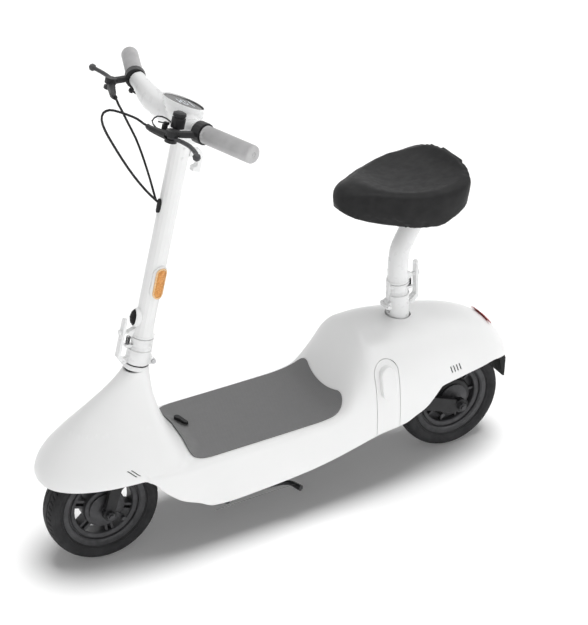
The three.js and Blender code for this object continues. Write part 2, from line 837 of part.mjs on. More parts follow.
const flapTie = block(
  [flapTopX - flapThickness, -flapHalf + bumper, flapTopZ - flapThickness],
  [flapTopX + 2 * bumper - 1, flapHalf - bumper, flapTopZ],
);
part('mud_flap', common(join(flapShape, flapTie), bodySolid(-overrun)), rubber);

// Kickstand, folded back along the sill, on its bracket under the pan

const standX = 170;
const standY = 76;
const standZ = 90;
const standPin = 4.5;
const standEye = 9;
const standEyeHalf = 6;
const standRadius = 5.5;
const standPlate = 4;
const standBracket = 13;
const standElbowX = 95;
const standKneeX = 29;
const standKneeY = 88;
const standFootX = 14;
const standFootY = 122;
const standFootRadius = 7;
const standAxis = [0, -0.605, -0.797];
const standPivot = [standX, standY, standZ];
const standSlab = standEyeHalf + gap;

part('kickstand', cut(join(
  aimed(drum(standEye, -standEyeHalf, standEyeHalf), standPivot, standAxis),
  bar([
    standPivot,
    [standElbowX, standY, standZ],
    [standKneeX, standKneeY, standZ],
    [standFootX, standFootY, standZ],
  ], [standRadius, standRadius, standRadius, standFootRadius], 8, 10),
), aimed(drum(standPin + 2 * gap, -overrun, overrun), standPivot, standAxis)), frameBlack);

const standMount = block(
  [standX - standBracket, standY - standEye, standZ],
  [standX + standBracket, standY + standBracket, underEdge(standX + standBracket) + panDrop - gap],
);
part('kickstand_bracket', join(
  cut(standMount, aimed(drum(3 * standBracket, -standSlab, 3 * standBracket), standPivot, standAxis)),
  aimed(drum(standEye, -standSlab - standPlate, -standSlab), standPivot, standAxis),
  aimed(drum(standPin, -standSlab - standPlate, standSlab), standPivot, standAxis),
  aimed(drum(standEye, standSlab, standSlab + standPlate), standPivot, standAxis),
), frameBlack);

// Wheels: tyre, cast rim with ribbed spokes, hub

const beadHalf = 21;
const flangeHalf = 24;
const flangeHeight = 4;
const tyreWall = 8;
const frontHubRadius = 38;
const frontHubHalf = 24;
const motorRadius = 50;
const motorHalf = 27;
const motorCover = 36;
const spokeRib = 4;
const spokeRibHeight = 5;

function tyre() {
  const crown = tyreRadius;
  const shoulder = (tyreRadius + rimRadius) / 2;
  const half = [
    [rimRadius + gap, beadHalf - tyreWall],
    [rimRadius + gap, beadHalf],
    [rimRadius + flangeHeight + 2, beadHalf],
    [shoulder, tyreHalfWidth],
    [crown - flangeHeight - 1, tyreFlat],
    [crown, tyreFlat / 2],
  ];
  const mirror = (points) => points.map(([radius, height]) => [radius, -height]).reverse();
  const hollow = [[crown - tyreWall, tyreFlat / 3], [shoulder, tyreHalfWidth - tyreWall]];
  return acrossY(turned([...half, ...mirror(half), ...mirror(hollow), ...hollow, half[0]], wheelSides));
}

function rim(hubRadius, hubHalf, hubBore) {
  const ring = acrossY(turned([
    [rimRadius - rimWall, -flangeHalf + 2],
    [rimRadius + flangeHeight, -flangeHalf],
    [rimRadius + flangeHeight, -beadHalf - gap],
    [rimRadius, -beadHalf - gap],
    [rimRadius, beadHalf + gap],
    [rimRadius + flangeHeight, beadHalf + gap],
    [rimRadius + flangeHeight, flangeHalf],
    [rimRadius - rimWall, flangeHalf - 2],
    [rimRadius - rimWall, -flangeHalf + 2],
  ], wheelSides));
  const hub = acrossY(drum(hubRadius, -hubHalf, hubHalf));
  const spokes = [];
  for (let spoke = 0; spoke < spokeCount; spoke += 1) {
    const turn = (2 * Math.PI * spoke) / spokeCount + Math.PI / 2;
    const web = block(
      [hubRadius / 2, -spokeThickness / 2, -spokeWidth / 2],
      [rimRadius - rimWall / 2, spokeThickness / 2, spokeWidth / 2],
    );
    const rib = block(
      [hubRadius / 2, -spokeThickness / 2 - spokeRibHeight, -spokeRib / 2],
      [rimRadius - rimWall / 2, spokeThickness / 2 + spokeRibHeight, spokeRib / 2],
    );
    spokes.push(web.rotateY(-turn), rib.rotateY(-turn));
  }
  return cut(join(ring, hub, ...spokes), acrossY(drum(hubBore, -hubHalf - overrun, hubHalf + overrun)));
}

const frontWheel = new THREE.Group();
frontWheel.position.set(frontAxleX, 0, tyreRadius);
const rearWheel = new THREE.Group();
rearWheel.position.set(rearAxleX, 0, tyreRadius);
scooter.add(frontWheel, rearWheel);

part('front_tyre', tyre(), rubber, frontWheel);
part('front_rim', rim(frontHubRadius, frontHubHalf, axleRadius + 2 * gap), charcoal, frontWheel);
part('rear_tyre', tyre(), rubber, rearWheel);
part('rear_rim', rim(
  motorRadius + spokeRibHeight, motorHalf - spokeRib, motorRadius + gap), charcoal, rearWheel);
part('hub_motor', acrossY(turned([
  [axleRadius + gap, -motorHalf],
  [motorCover, -motorHalf],
  [motorRadius - spokeRib, -motorHalf + spokeRib / 2],
  [motorRadius, -motorHalf + 2 * spokeRib],
  [motorRadius, motorHalf - 2 * spokeRib],
  [motorRadius - spokeRib, motorHalf - spokeRib / 2],
  [motorCover, motorHalf],
  [axleRadius + gap, motorHalf],
  [axleRadius + gap, -motorHalf],
])), frameBlack, rearWheel);

// Axles with their nuts, brake plates and the brake arm

const nutRadius = 10;
const nutHeight = 8;
const nutSides = 6;
const legInner = 40;
const legOuter = 52;
const brakeRadius = 37;
const brakeThickness = 7;
const brakeArmLength = 46;
const brakeArmWidth = 9;
const cableStop = 5;

function axle(armOuter) {
  const end = armOuter + gap + nutHeight;
  const nut = (low) => acrossY(drum(nutRadius, low, low + nutHeight, 0, nutSides));
  return join(
    acrossY(drum(axleRadius, -end - nutHeight / 2, end + nutHeight / 2)),
    nut(armOuter + gap),
    nut(-end),
  );
}
part('rear_axle', axle(railOuter), steel, rearWheel);
part('front_axle', axle(legOuter), steel).position.set(frontAxleX, 0, tyreRadius);

// A drum brake's fixed plate with its boss, arm and cable barrel, on the left of a hub
function brakePlate(hubHalf, armInner, armDegrees) {
  const low = hubHalf + gap;
  const turn = THREE.MathUtils.degToRad(armDegrees);
  const arm = block(
    [0, low + brakeThickness - brakeArmWidth / 2, -brakeArmWidth / 2],
    [brakeArmLength, low + brakeThickness, brakeArmWidth / 2],
  );
  const barrel = acrossY(drum(cableStop, low + brakeThickness / 2, armInner - gap))
    .translate(brakeArmLength, 0, 0);
  return cut(join(
    acrossY(turned([
      [0, low], [brakeRadius, low], [brakeRadius, low + brakeThickness / 2],
      [brakeRadius / 2, low + brakeThickness], [nutRadius + gap, low + brakeThickness],
      [nutRadius + gap, armInner - gap], [0, armInner - gap],
    ])),
    arm.rotateY(-turn),
    barrel.rotateY(-turn),
  ), acrossY(drum(axleRadius + 2 * gap, 0, armInner + overrun)));
}
part('rear_brake', brakePlate(motorHalf, railInner, -28), charcoal, rearWheel);

// Fork: two blades, crown and steerer, drawn about the steering axis

const crownLow = 148;
const crownHigh = 162;
const crownRadius = 54;
const crownBoss = 26;
const legTopFront = 18;
const legTopRear = -18;
const legNeck = 40;
const legEye = 15;
const legTaper = 11;
const steererBore = 9;
const steererTop = seamHeight - 38;

function fork() {
  const leg = join(
    sidePlate([
      [legTopRear, crownHigh], [legTopFront, crownHigh], [axleLead + legTaper, legNeck],
      [axleLead + legTaper, 0], [axleLead - legTaper, 0], [axleLead - legTaper - 2, legNeck],
    ], legInner, legOuter),
    acrossY(drum(legEye, legInner, legOuter)).translate(axleLead, 0, 0),
  );
  const crown = common(
    drum(crownRadius, crownLow, crownHigh),
    block([-crownBoss, -crownRadius, crownLow], [crownBoss, crownRadius, crownHigh]),
  );
  const whole = join(leg, mirrored(leg), crown, drum(steererRadius, crownLow, steererTop));
  const seat = drum(crownBoss - gap, crownHigh - gap, headTubeLow - gap);
  const axleHole = acrossY(drum(axleRadius + 2 * gap, -legOuter - overrun, legOuter + overrun))
    .translate(axleLead, 0, 0);
  return cut(join(whole, seat), axleHole, drum(steererBore, 0, steererTop + overrun));
}
part('fork', fork(), frameBlack, steering);
part('front_brake', brakePlate(frontHubHalf, legInner, 205), charcoal, steering).position.set(axleLead, 0, 0);

// Fold hardware, the same for the stem and the seat post: a waisted base, a tube on it, a
// hinge on one side and a latch on the other. Heights are measured from the seam between them

const foldShoulder = 25.5;
const foldRing = 24;
const foldWaist = 20.5;
const foldBore = 17.5;
const shoulderDrop = 32;
const ringDrop = 26;
const waistHighDrop = 21;
const waistLowDrop = 13;
const collarDrop = 6;
const hingeReach = 30.5;
const hingeArmDepth = 5.5;
const baseBore = 14;
const hingeEye = 6;
const hingePin = 3;
const hingeHalf = 6.5;
const lugHalf = 13;
const lugGap = 0.5;
const boltHead = 5;
const boltHeadHeight = 4;
const latchReach = 33;
const latchDrop = 57;
const latchEye = 6;
const latchPin = 2.6;
const latchHalf = 4;
const latchCheek = 8;
const leverNear = 43.2;
const leverFar = 48.8;
const leverTop = 40;
const leverFoot = 47;
const knobRadius = 5.5;
const knobHeight = 5;
const catchReach = 29;
const catchHeight = 8;
const catchEye = 6.5;
const catchHalf = 6;
const springReach = 30;
const springRadius = 4;
const springWire = 0.9;
const springCurls = 6;
const springLow = -17.6;
const springHigh = -1.6;
const ledgeLow = -25;
const ledgeHigh = -18.8;
const stepsPerCurl = 8;
const curlSides = 5;

function foldBase(bottom, bore, hingeDrop, pressedPins) {
  const body = turned([
    [bore, bottom], [foldShoulder - 2, bottom], [foldShoulder, bottom + 2],
    [foldShoulder, -shoulderDrop], [foldRing, -shoulderDrop + 2], [foldRing, -ringDrop],
    [foldWaist, -waistHighDrop], [foldWaist, -waistLowDrop], [foldRing, -collarDrop],
    [foldRing, -gap / 2], [baseBore, -gap / 2], [baseBore, bottom + overrun + collarDrop],
    [bore, bottom + overrun + collarDrop], [bore, bottom],
  ], foldSides);
  const lug = join(
    sidePlate([
      [-foldWaist, -hingeDrop - hingeEye - 1], [-hingeReach, -hingeDrop - hingeEye - 1],
      [-hingeReach, -hingeDrop + hingeEye + 1], [-foldWaist, -hingeDrop + 2 * hingeEye],
    ], hingeHalf + lugGap, lugHalf),
    acrossY(drum(hingeEye + 1, hingeHalf + lugGap, lugHalf)).translate(-hingeReach, 0, -hingeDrop),
  );
  const ear = join(
    sidePlate([
      [foldWaist, -latchDrop - latchEye], [latchReach, -latchDrop - latchEye],
      [latchReach, -latchDrop + latchEye], [foldWaist, -latchDrop + 2 * latchEye],
    ], -latchHalf, latchHalf),
    acrossY(drum(latchEye, -latchHalf, latchHalf)).translate(latchReach, 0, -latchDrop),
    acrossY(drum(latchPin, -latchCheek - 1, latchCheek + 1)).translate(latchReach, 0, -latchDrop),
  );
  const ledge = block(
    [foldWaist - 1, -catchHalf, ledgeLow], [springReach + springRadius + 1, catchHalf, ledgeHigh]);
  const boltHole = acrossY(drum(hingePin + gap, -lugHalf - overrun, lugHalf + overrun))
    .translate(-hingeReach, 0, -hingeDrop);
  const hollow = drum(baseBore, bottom + overrun + collarDrop, overrun);
  const socket = bore > 0 ? [drum(bore, bottom - overrun, 0)] : [];
  const slot = block(
    [-hingeReach - overrun, -hingeHalf - lugGap, -hingeDrop - overrun],
    [-foldShoulder + hingeArmDepth + lugGap, hingeHalf + lugGap, overrun],
  );
  const whole = cut(join(body, lug, mirrored(lug), ear, ledge), hollow, slot, ...socket);
  return pressedPins.length > 0 ? join(whole, ...pressedPins) : cut(whole, boltHole);
}

function hingeBolt(hingeDrop) {
  const side = lugHalf + gap;
  return join(
    acrossY(drum(hingePin, -side - boltHeadHeight / 2, side + boltHeadHeight / 2)),
    acrossY(drum(boltHead, side, side + boltHeadHeight)),
    acrossY(drum(boltHead, -side - boltHeadHeight, -side, 0, nutSides)),
  ).translate(-hingeReach, 0, -hingeDrop);
}

// The folding tube's foot: its collar, the hinge arm down to the bolt and the latch's catch
function foldFoot(hingeDrop) {
  const arm = join(
    sidePlate([
      [-hingeReach - hingeEye, -hingeDrop], [-foldShoulder, -hingeDrop + 2 * hingeEye],
      [-foldShoulder, collarDrop], [-foldBore - 1, 2 * collarDrop],
      [-foldBore - 1, gap], [-foldShoulder + hingeArmDepth, gap / 2],
      [-foldShoulder + hingeArmDepth, -hingeDrop + hingeEye / 2],
    ], -hingeHalf, hingeHalf),
    acrossY(drum(hingeEye, -hingeHalf, hingeHalf)).translate(-hingeReach, 0, -hingeDrop),
  );
  const pinHole = acrossY(drum(hingePin + gap, -lugHalf, lugHalf)).translate(-hingeReach, 0, -hingeDrop);
  const catchEar = join(
    sidePlate([
      [foldBore + 1, gap], [catchReach, gap], [catchReach, catchHeight + catchEye],
      [foldBore + 1, catchHeight + 2 * catchEye],
    ], -catchHalf, catchHalf),
    acrossY(drum(catchEye, -catchHalf, catchHalf)).translate(catchReach, 0, catchHeight),
  );
  return cut(join(arm, catchEar), pinHole);
}

function latchLever() {
  const cheek = join(
    sidePlate([
      [latchReach - latchEye, -latchDrop], [latchReach, -latchDrop - latchEye],
      [leverFar, -leverFoot - 2], [leverFar, -leverFoot + latchEye], [leverNear, -leverFoot + latchEye],
      [latchReach, -latchDrop + latchEye],
    ], latchHalf + lugGap, latchCheek),
    acrossY(drum(latchEye, latchHalf + lugGap, latchCheek)).translate(latchReach, 0, -latchDrop),
  );
  const plate = block([leverNear, -latchCheek, -leverFoot], [leverFar, latchCheek, leverTop - latchCheek]);
  const tip = drum(latchCheek, leverNear, leverFar).rotateY(Math.PI / 2)
    .translate(0, 0, leverTop - latchCheek);
  const knob = drum(knobRadius, leverNear, leverFar + knobHeight).rotateY(Math.PI / 2)
    .translate(0, 0, catchHeight);
  const hook = drum(latchHalf, catchReach + catchEye + 2, leverFar).rotateY(Math.PI / 2)
    .translate(0, 0, catchHeight);
  const pinHole = acrossY(drum(latchPin + gap, -latchCheek - overrun, latchCheek + overrun))
    .translate(latchReach, 0, -latchDrop);
  return cut(join(cheek, mirrored(cheek), plate, tip, knob, hook), pinHole);
}

// One unbroken helix; its least gap to itself is measured on points and printed
function coilSpring(radius, wire, low, high, curls) {
  const rings = [];
  const steps = curls * stepsPerCurl;
  for (let step = 0; step <= steps; step += 1) {
    const angle = (2 * Math.PI * step) / stepsPerCurl;
    const out = new THREE.Vector3(Math.cos(angle), Math.sin(angle), 0);
    const centre = out.clone().multiplyScalar(radius).setZ(low + ((high - low) * step) / steps);
    const ring = [];
    for (let k = 0; k < curlSides; k += 1) {
      const around = (2 * Math.PI * k) / curlSides;
      ring.push(centre.clone()
        .addScaledVector(out, wire * Math.cos(around))
        .addScaledVector(new THREE.Vector3(0, 0, 1), wire * Math.sin(around)));
    }
    rings.push(ring);
  }
  let least = Infinity;
  rings.forEach((ring, row) => rings.slice(row + stepsPerCurl / 2).forEach((other) => {
    ring.forEach((a) => other.forEach((b) => { least = Math.min(least, a.distanceTo(b)); }));
  }));
  console.log('spring, least gap to itself', least.toFixed(2), 'mm');
  return loft(rings);
}

function latchSpring() {
  return coilSpring(springRadius, springWire, springLow, springHigh, springCurls)
    .translate(springReach, 0, 0);
}

// Stem and its fold

const stemHingeDrop = 53;
const foldBottom = -60;
const stemTaper = 27;
const stemTop = barHeight - 40;
const lampHeight = seamHeight + 42;
const lampReach = 16;
const lensPlane = 27;
const lampRadii = [20, 14, 23];
const reflectorLow = seamHeight + 90;
const reflectorHigh = reflectorLow + 76;
const reflectorX = -4.5;
const bezelHalf = 17;
const bezelWall = 3.4;
const amberHalf = 13;
const amberInset = 4;
const amberRise = 2.4;
const grommetHeight = stemTop - 175;
const grommetHalf = 6.5;
const grommetLength = 15;
const grommetRise = 3.5;
const hookLow = stemTop - 97;
const hookHigh = stemTop - 50;
const hookReach = 50;
const hookHalf = 8;
const hookWall = 8;
const screwHeights = [stemTop - 67, stemTop - 46];
const screwRadius = 3;

const upSeam = (geometry) => geometry.translate(0, 0, seamHeight);
part('stem_fold_base', upSeam(
  foldBase(foldBottom, steererRadius + gap, stemHingeDrop, [])), whiteMetal, steering);
part('stem_hinge_bolt', upSeam(hingeBolt(stemHingeDrop)), steel, steering);
part('stem_latch_lever', upSeam(latchLever()), whiteMetal, steering);
part('stem_latch_spring', upSeam(latchSpring()), blackPlastic, steering);

const lampBall = new THREE.SphereGeometry(1, 12, 8).scale(...lampRadii).translate(lampReach, 0, lampHeight);

function stem() {
  const tube = turned([
    [foldBore, seamHeight + gap / 2], [foldRing, seamHeight + gap / 2], [foldRing, seamHeight + collarDrop],
    [foldWaist, seamHeight + stemTaper], [foldWaist, stemTop], [foldBore, stemTop],
    [foldBore, seamHeight + gap / 2],
  ], foldSides);
  const screws = screwHeights.map((height) => acrossY(drum(screwRadius, foldWaist - 2, foldWaist + 1))
    .translate(0, 0, height));
  const bore = drum(foldBore, seamHeight - overrun, stemTop + overrun);
  const lensSeat = block([lensPlane, -foldRing, lampHeight - 2 * overrun], [2 * foldRing, foldRing, stemTop]);
  const bulge = cut(lampBall, lensSeat);
  return cut(join(tube, bulge, upSeam(foldFoot(stemHingeDrop)), ...screws), bore);
}
part('stem', stem(), white, steering);

part('headlight', common(lampBall, block(
  [lensPlane + gap, -lampRadii[1] - overrun, lampHeight - lampRadii[2] - overrun],
  [lampReach + lampRadii[0] + overrun, lampRadii[1] + overrun, lampHeight + lampRadii[2] + overrun],
)), glassBlack, steering);

const reflectorMiddle = (reflectorLow + reflectorHigh) / 2;
const reflectorHalf = (reflectorHigh - reflectorLow) / 2;
function sideCapsule(halfWidth, halfLength) {
  const points = capsulePoints(halfWidth, halfLength, 6)
    .map(([x, z]) => [reflectorX + x, reflectorMiddle + z]);
  return sidePlate(points, foldWaist / 4, 2 * foldWaist);
}
function tubeShell(inner, outer, low, high) {
  return drum(outer, low, high, inner, foldSides);
}
const bezel = common(
  tubeShell(foldWaist + gap, foldWaist + gap + bezelWall, reflectorLow - 1, reflectorHigh + 1),
  sideCapsule(bezelHalf, reflectorHalf),
);
const amberInner = foldWaist + 2 * gap + bezelWall;
const reflector = common(
  tubeShell(amberInner, amberInner + amberRise, reflectorLow - 1, reflectorHigh + 1),
  sideCapsule(amberHalf, reflectorHalf - amberInset),
);
const bezelBand = common(
  tubeShell(foldWaist + gap, foldWaist + gap + bezelWall / 2, reflectorMiddle - bezelHalf,
    reflectorMiddle + bezelHalf),
  block([-2 * foldWaist, -2 * foldWaist, reflectorLow], [reflectorX, 2 * foldWaist, reflectorHigh]),
);
part('reflector_bezels', join(bezel, mirrored(bezel), bezelBand), white, steering);
part('reflector_left', reflector, amber, steering);
part('reflector_right', mirrored(reflector), amber, steering);

const grommetShape = new THREE.Shape(capsulePoints(grommetHalf, grommetLength, 6).map(
  ([y, z]) => new THREE.Vector2(-z, y)));
const grommetPrism = new THREE.ExtrudeGeometry(grommetShape, { depth: 2 * foldWaist, bevelEnabled: false })
  .rotateY(Math.PI / 2)
  .translate(0, 0, grommetHeight);
part('cable_grommet', common(
  tubeShell(foldWaist + gap, foldWaist + gap + grommetRise, grommetHeight - 2 * grommetLength,
    grommetHeight + 2 * grommetLength),
  grommetPrism,
), rubber, steering);

part('bag_hook', sidePlate([
  [-foldWaist - gap, hookHigh], [-hookReach + hookWall, hookHigh], [-hookReach, hookHigh - hookWall],
  [-hookReach, hookLow], [-hookReach + 2 * hookWall, hookLow], [-hookReach + 2 * hookWall, hookLow + hookWall],
  [-hookReach + hookWall, hookLow + 1.5 * hookWall], [-hookReach + hookWall, hookHigh - 2 * hookWall],
  [-foldWaist - gap, hookHigh - 2 * hookWall],
], -hookHalf, hookHalf), white, steering);

// Handlebar: a gull-wing casting with the display's cone on it, and the grips' inner tubes

const barDrop = 33;
const barCentreX = 8;
const barEndX = 49;
const barEndY = 150;
const barEndDrop = 3;
const barRoot = 27;
const gripRadius = 17.8;
const gripCore = 11;
const gripBackShare = -0.316;
const gripRiseShare = 0.062;
const gripGap = 0.4;
const collarRadius = 21.5;
const collarLength = 20;
const socketLow = stemTop - 26;
const podRadius = 44.4;
const podWaist = 28;
const podBelly = 39;
const podBellyDepth = 27;
const podDepth = 46;
const podX = 13;
const podTiltDegrees = 11;
const podLip = 3;
const podLean = 0.42;
const lensRadius = 42.2;
const lensRecess = 2.4;
const lensDepth = 2.5;
const gripEndRadius = 3;
// The wing's route from the middle to the grip: shares of barEndY, and rises as shares of barDrop
const wingShares = [[0, 0, 0], [0.4, 0.33, 0.06], [0.667, 0.66, 0.33], [0.9, 0.86, 0.76], [1.02, 0.92, 0.94]];

const gripWay = new THREE.Vector3(gripBackShare, 1, gripRiseShare).normalize();
const gripFrom = new THREE.Vector3(barEndX, barEndY, barHeight - barEndDrop);
const gripSpan = (barHalfWidth - barEndY) / gripWay.y;

// A drum about the left grip's axis, between two distances from the wing's end
function gripDrum(radius, from, to, bore = 0, sides = sidesFor(radius)) {
  return aimed(drum(radius, from, to, bore, sides), gripFrom.toArray(), gripWay.toArray());
}

// A form turned about the display's middle, leaning back as it goes down and tilted to the rider
function podForm(profile, sides = 18) {
  const lean = new THREE.Matrix4().makeShear(0, 0, 0, 0, podLean, 0);
  return turned(profile, sides)
    .applyMatrix4(lean)
    .rotateY(-THREE.MathUtils.degToRad(podTiltDegrees))
    .translate(podX, 0, barHeight + 2 * podLip);
}

function handlebar() {
  const wing = (turn) => wingShares.map(([y, x, z]) => [
    barCentreX + (barEndX - barCentreX) * x, turn * y * barEndY, barHeight - barDrop + barDrop * z]);
  const path = [...wing(-1).reverse(), ...wing(1).slice(1)];
  const radii = [gripRadius, gripRadius, 0.87 * barRoot, 0.93 * barRoot, barRoot];
  const casting = bar(path, [...radii, ...radii.slice(0, -1).reverse()], 12, 12);
  const beyond = gripDrum(2 * collarRadius, -gripGap, overrun);
  const core = gripDrum(gripCore, -collarLength, gripSpan - gripEndRadius);
  const cone = podForm([
    [0, -podDepth], [podWaist, -podDepth], [podBelly, -podBellyDepth], [podRadius, -2 * podLip],
    [podRadius, 0],
    [lensRadius + gap, 0], [lensRadius + gap, -lensRecess - lensDepth], [0, -lensRecess - lensDepth],
  ]);
  const socket = drum(foldRing, socketLow, barHeight - barDrop, 0, foldSides);
  const stemHole = drum(foldWaist + gap, socketLow - overrun, stemTop + gap, 0, foldSides);
  const white = cut(join(casting, cone, socket), beyond, mirrored(beyond), stemHole);
  return join(white, core, mirrored(core));
}
part('handlebar', handlebar(), white, steering);
part('display_lens', podForm([
  [0, gap - lensRecess - lensDepth], [lensRadius, gap - lensRecess - lensDepth],
  [lensRadius, -lensRecess], [0, -lensRecess],
]), glassBlack, steering);

const gripStart = collarLength + 2 * gripGap;
const grip = gripDrum(gripRadius, gripStart, gripSpan, 0, 14);
const gripHole = gripDrum(gripCore + gap, -collarLength, gripSpan - gripEndRadius + gap);
const gripRim = aimed(turned([
  [gripRadius - gripEndRadius, gripSpan + overrun], [gripRadius - gripEndRadius, gripSpan],
  [gripRadius, gripSpan - gripEndRadius], [gripRadius + overrun, gripSpan - gripEndRadius],
  [gripRadius + overrun, gripSpan + overrun], [gripRadius - gripEndRadius, gripSpan + overrun],
], 14), gripFrom.toArray(), gripWay.toArray());
const leftGrip = cut(grip, gripHole, gripRim);
part('grip_left', leftGrip, gripGrey, steering);
part('grip_right', mirrored(leftGrip), gripGrey, steering);

// Brake perches and levers: the perch clamps the bar, holds the lever's pin and ends in the
// cable's barrel

const perchX = 103;
const perchY = 150;
const perchZ = barHeight - 18;
const perchArm = 7.5;
const perchArmLift = 7;
const perchArmPlace = 12;
const perchBody = 9;
const perchHead = 12;
const perchHalf = 9;
const barrelX = 120.3;
const barrelY = 79.7;
const barrelZ = 880;
const barrelRadius = 5;
const leverEye = 8;
const leverEyeHalf = 2.5;
const leverPin = 3;
const leverSlotX = 88;
const leverSlotY = 141;
const leverRadius = 4.5;
const leverBlade = 26;
const leverBladeDegrees = 30;
const leverBall = 8;
const leverPath = [
  [perchX - leverBlade / 2, perchY + leverBlade * 0.85, perchZ],
  [perchX - 0.7 * leverBlade, perchY + 1.7 * leverBlade, perchZ],
  [perchX - leverBlade / 2, perchY + 3.2 * leverBlade, perchZ],
  [perchX - leverBall / 2, perchY + 4 * leverBlade, perchZ + 1],
];
const cableRadius = 2.5;
const bellX = 78;
const bellY = 118;
const bellLow = 893;
const bellTall = 32;
const bellRadius = 13.5;
const bellPost = 6;
const strikerX = 101;
const strikerY = 112;
const strikerRadius = 4;
const strikerPin = 2;
const strikerLow = 896;
const strikerHigh = 901;
const strikerBall = 2.4;

function perch(extras) {
  const ring = gripDrum(collarRadius, 0, collarLength);
  const clampMiddle = gripFrom.clone().addScaledVector(gripWay, perchArmPlace);
  const arm = rod([clampMiddle.x + gripCore + perchArm / 2, clampMiddle.y, clampMiddle.z - perchArm / 2],
    [perchX, perchY, perchZ + perchArmLift], perchArm, 8);
  const head = drum(perchHead, perchZ - perchHalf, perchZ + perchArmLift + perchArm)
    .translate(perchX, perchY, 0);
  const body = bar([
    [perchX, perchY, perchZ],
    [perchX + perchBody, (perchY + barrelY) / 2, perchZ - leverPin],
    [barrelX, barrelY + perchHead, barrelZ],
    [barrelX, barrelY, barrelZ],
  ], [perchBody, perchBody - 1, barrelRadius + 1, barrelRadius], 8, 5);
  const slot = block(
    [leverSlotX, leverSlotY, perchZ - leverEyeHalf - gap],
    [perchX + overrun, perchY + overrun, perchZ + leverEyeHalf + gap],
  );
  const pin = drum(leverPin, perchZ - perchHalf, perchZ + perchHalf).translate(perchX, perchY, 0);
  const bore = gripDrum(gripCore + gap, -overrun, collarLength + overrun);
  return join(cut(join(ring, arm, head, body, ...extras), bore, slot), pin);
}

function brakeLever() {
  const eye = drum(leverEye, perchZ - leverEyeHalf, perchZ + leverEyeHalf).translate(perchX, perchY, 0);
  const blade = block(
    [-leverRadius, 0, perchZ - leverEyeHalf], [leverRadius, leverBlade, perchZ + leverEyeHalf])
    .rotateZ(THREE.MathUtils.degToRad(leverBladeDegrees))
    .translate(perchX, perchY, 0);
  const handle = bar(leverPath, [leverRadius, leverRadius, leverRadius, leverRadius], 8, 6);
  const ball = new THREE.SphereGeometry(leverBall, 8, 6).translate(...leverPath[leverPath.length - 1]);
  const hole = drum(leverPin + gap, perchZ - overrun, perchZ + overrun).translate(perchX, perchY, 0);
  return cut(join(eye, blade, handle, ball), hole);
}
const bellStand = [
  drum(bellPost, perchZ, bellLow - gap).translate(bellX, bellY, 0),
  rod([bellX, bellY, perchZ + 1], [perchX - perchHead / 2, perchY - perchHead / 3, perchZ + 1],
    bellPost - 1, 8),
  rod([bellX, bellY, perchZ + 1], [perchX + bellPost / 2, bellY, perchZ], bellPost - 1, 8),
  drum(strikerPin, perchZ, strikerHigh + 1).translate(strikerX, strikerY, 0),
  drum(bellPost, perchZ - bellPost, strikerLow - gap).translate(strikerX, strikerY, 0),
];

// Thumb throttle: a paddle on a pin held by two lugs under the right perch

const throttleDrop = 28;
const throttleLean = 4;
const throttlePin = 2.6;
const throttleLug = 3;
const throttleLugPlace = 4;
const throttleEye = 5.5;
const paddleBack = 17;
const paddleDown = 8;
const paddleStem = 2.2;
const paddlePad = 7;
const paddlePadHalf = 1.8;

function throttlePoint(place) {
  const point = gripFrom.clone().addScaledVector(gripWay, place);
  return [point.x + throttleLean, point.y, point.z - throttleDrop];
}
const throttleLugs = [throttleLugPlace, collarLength - throttleLugPlace].map((place) => {
  const [x, y, z] = throttlePoint(place);
  return rod([x - throttleLean, y, z + throttleDrop - gripCore - throttleLug], [x, y, z - throttleLug],
    throttleLug, 8);
});
const throttleShaft = rod(throttlePoint(1), throttlePoint(collarLength - 1), throttlePin, 8);

function throttlePaddle() {
  const inner = throttleLugPlace + throttleLug + 4 * gap;
  const [x, y, z] = throttlePoint(collarLength / 2);
  const pad = [x - paddleBack, y, z - paddleDown];
  return cut(join(
    rod(throttlePoint(inner), throttlePoint(collarLength - inner), throttleEye, 10),
    rod([x, y, z], pad, paddleStem, 8),
    aimed(drum(paddlePad, -paddlePadHalf, paddlePadHalf), pad, [-paddleDown / paddleBack, 0, 1]),
  ), rod(throttlePoint(-1), throttlePoint(collarLength + 1), throttlePin + gap, 8));
}
part('brake_perch_left', perch(bellStand), frameBlack, steering);
part('brake_perch_right', mirrored(perch([...throttleLugs, throttleShaft])), frameBlack, steering);
part('throttle_paddle', mirrored(throttlePaddle()), frameBlack, steering);
part('brake_lever_left', brakeLever(), charcoal, steering);
part('brake_lever_right', mirrored(brakeLever()), charcoal, steering);

part('bell', turned([
  [0, bellLow], [bellRadius - 1, bellLow], [bellRadius, bellLow + 1], [bellRadius, bellLow + bellTall * 0.62],
  [bellRadius - 2, bellLow + bellTall * 0.66], [bellRadius - 2, bellLow + bellTall * 0.72],
  [bellRadius, bellLow + bellTall * 0.76], [bellRadius - 1, bellLow + bellTall * 0.93],
  [bellRadius / 2, bellLow + bellTall], [0, bellLow + bellTall],
], 16).translate(bellX, bellY, 0), blackPlastic, steering);

const strikerReach = bellX + bellRadius + strikerBall + 1 - strikerX;
part('bell_striker', cut(join(
  drum(strikerRadius, strikerLow, strikerHigh).translate(strikerX, strikerY, 0),
  rod([strikerX, strikerY, strikerLow + strikerBall], [strikerX + 3 * strikerRadius, strikerY - 2 * strikerRadius,
    strikerLow + strikerBall], strikerBall - 1, 8),
  rod([strikerX, strikerY, strikerLow + strikerBall], [strikerX + strikerReach, strikerY,
    strikerLow + strikerBall], strikerBall - 1, 8),
  drum(strikerBall, strikerLow, strikerHigh).translate(strikerX + strikerReach, strikerY, 0),
), drum(strikerPin + gap, perchZ, strikerHigh + overrun).translate(strikerX, strikerY, 0)), blackPlastic, steering);

// Brake cables from the barrels to the grommet, and the display's wire

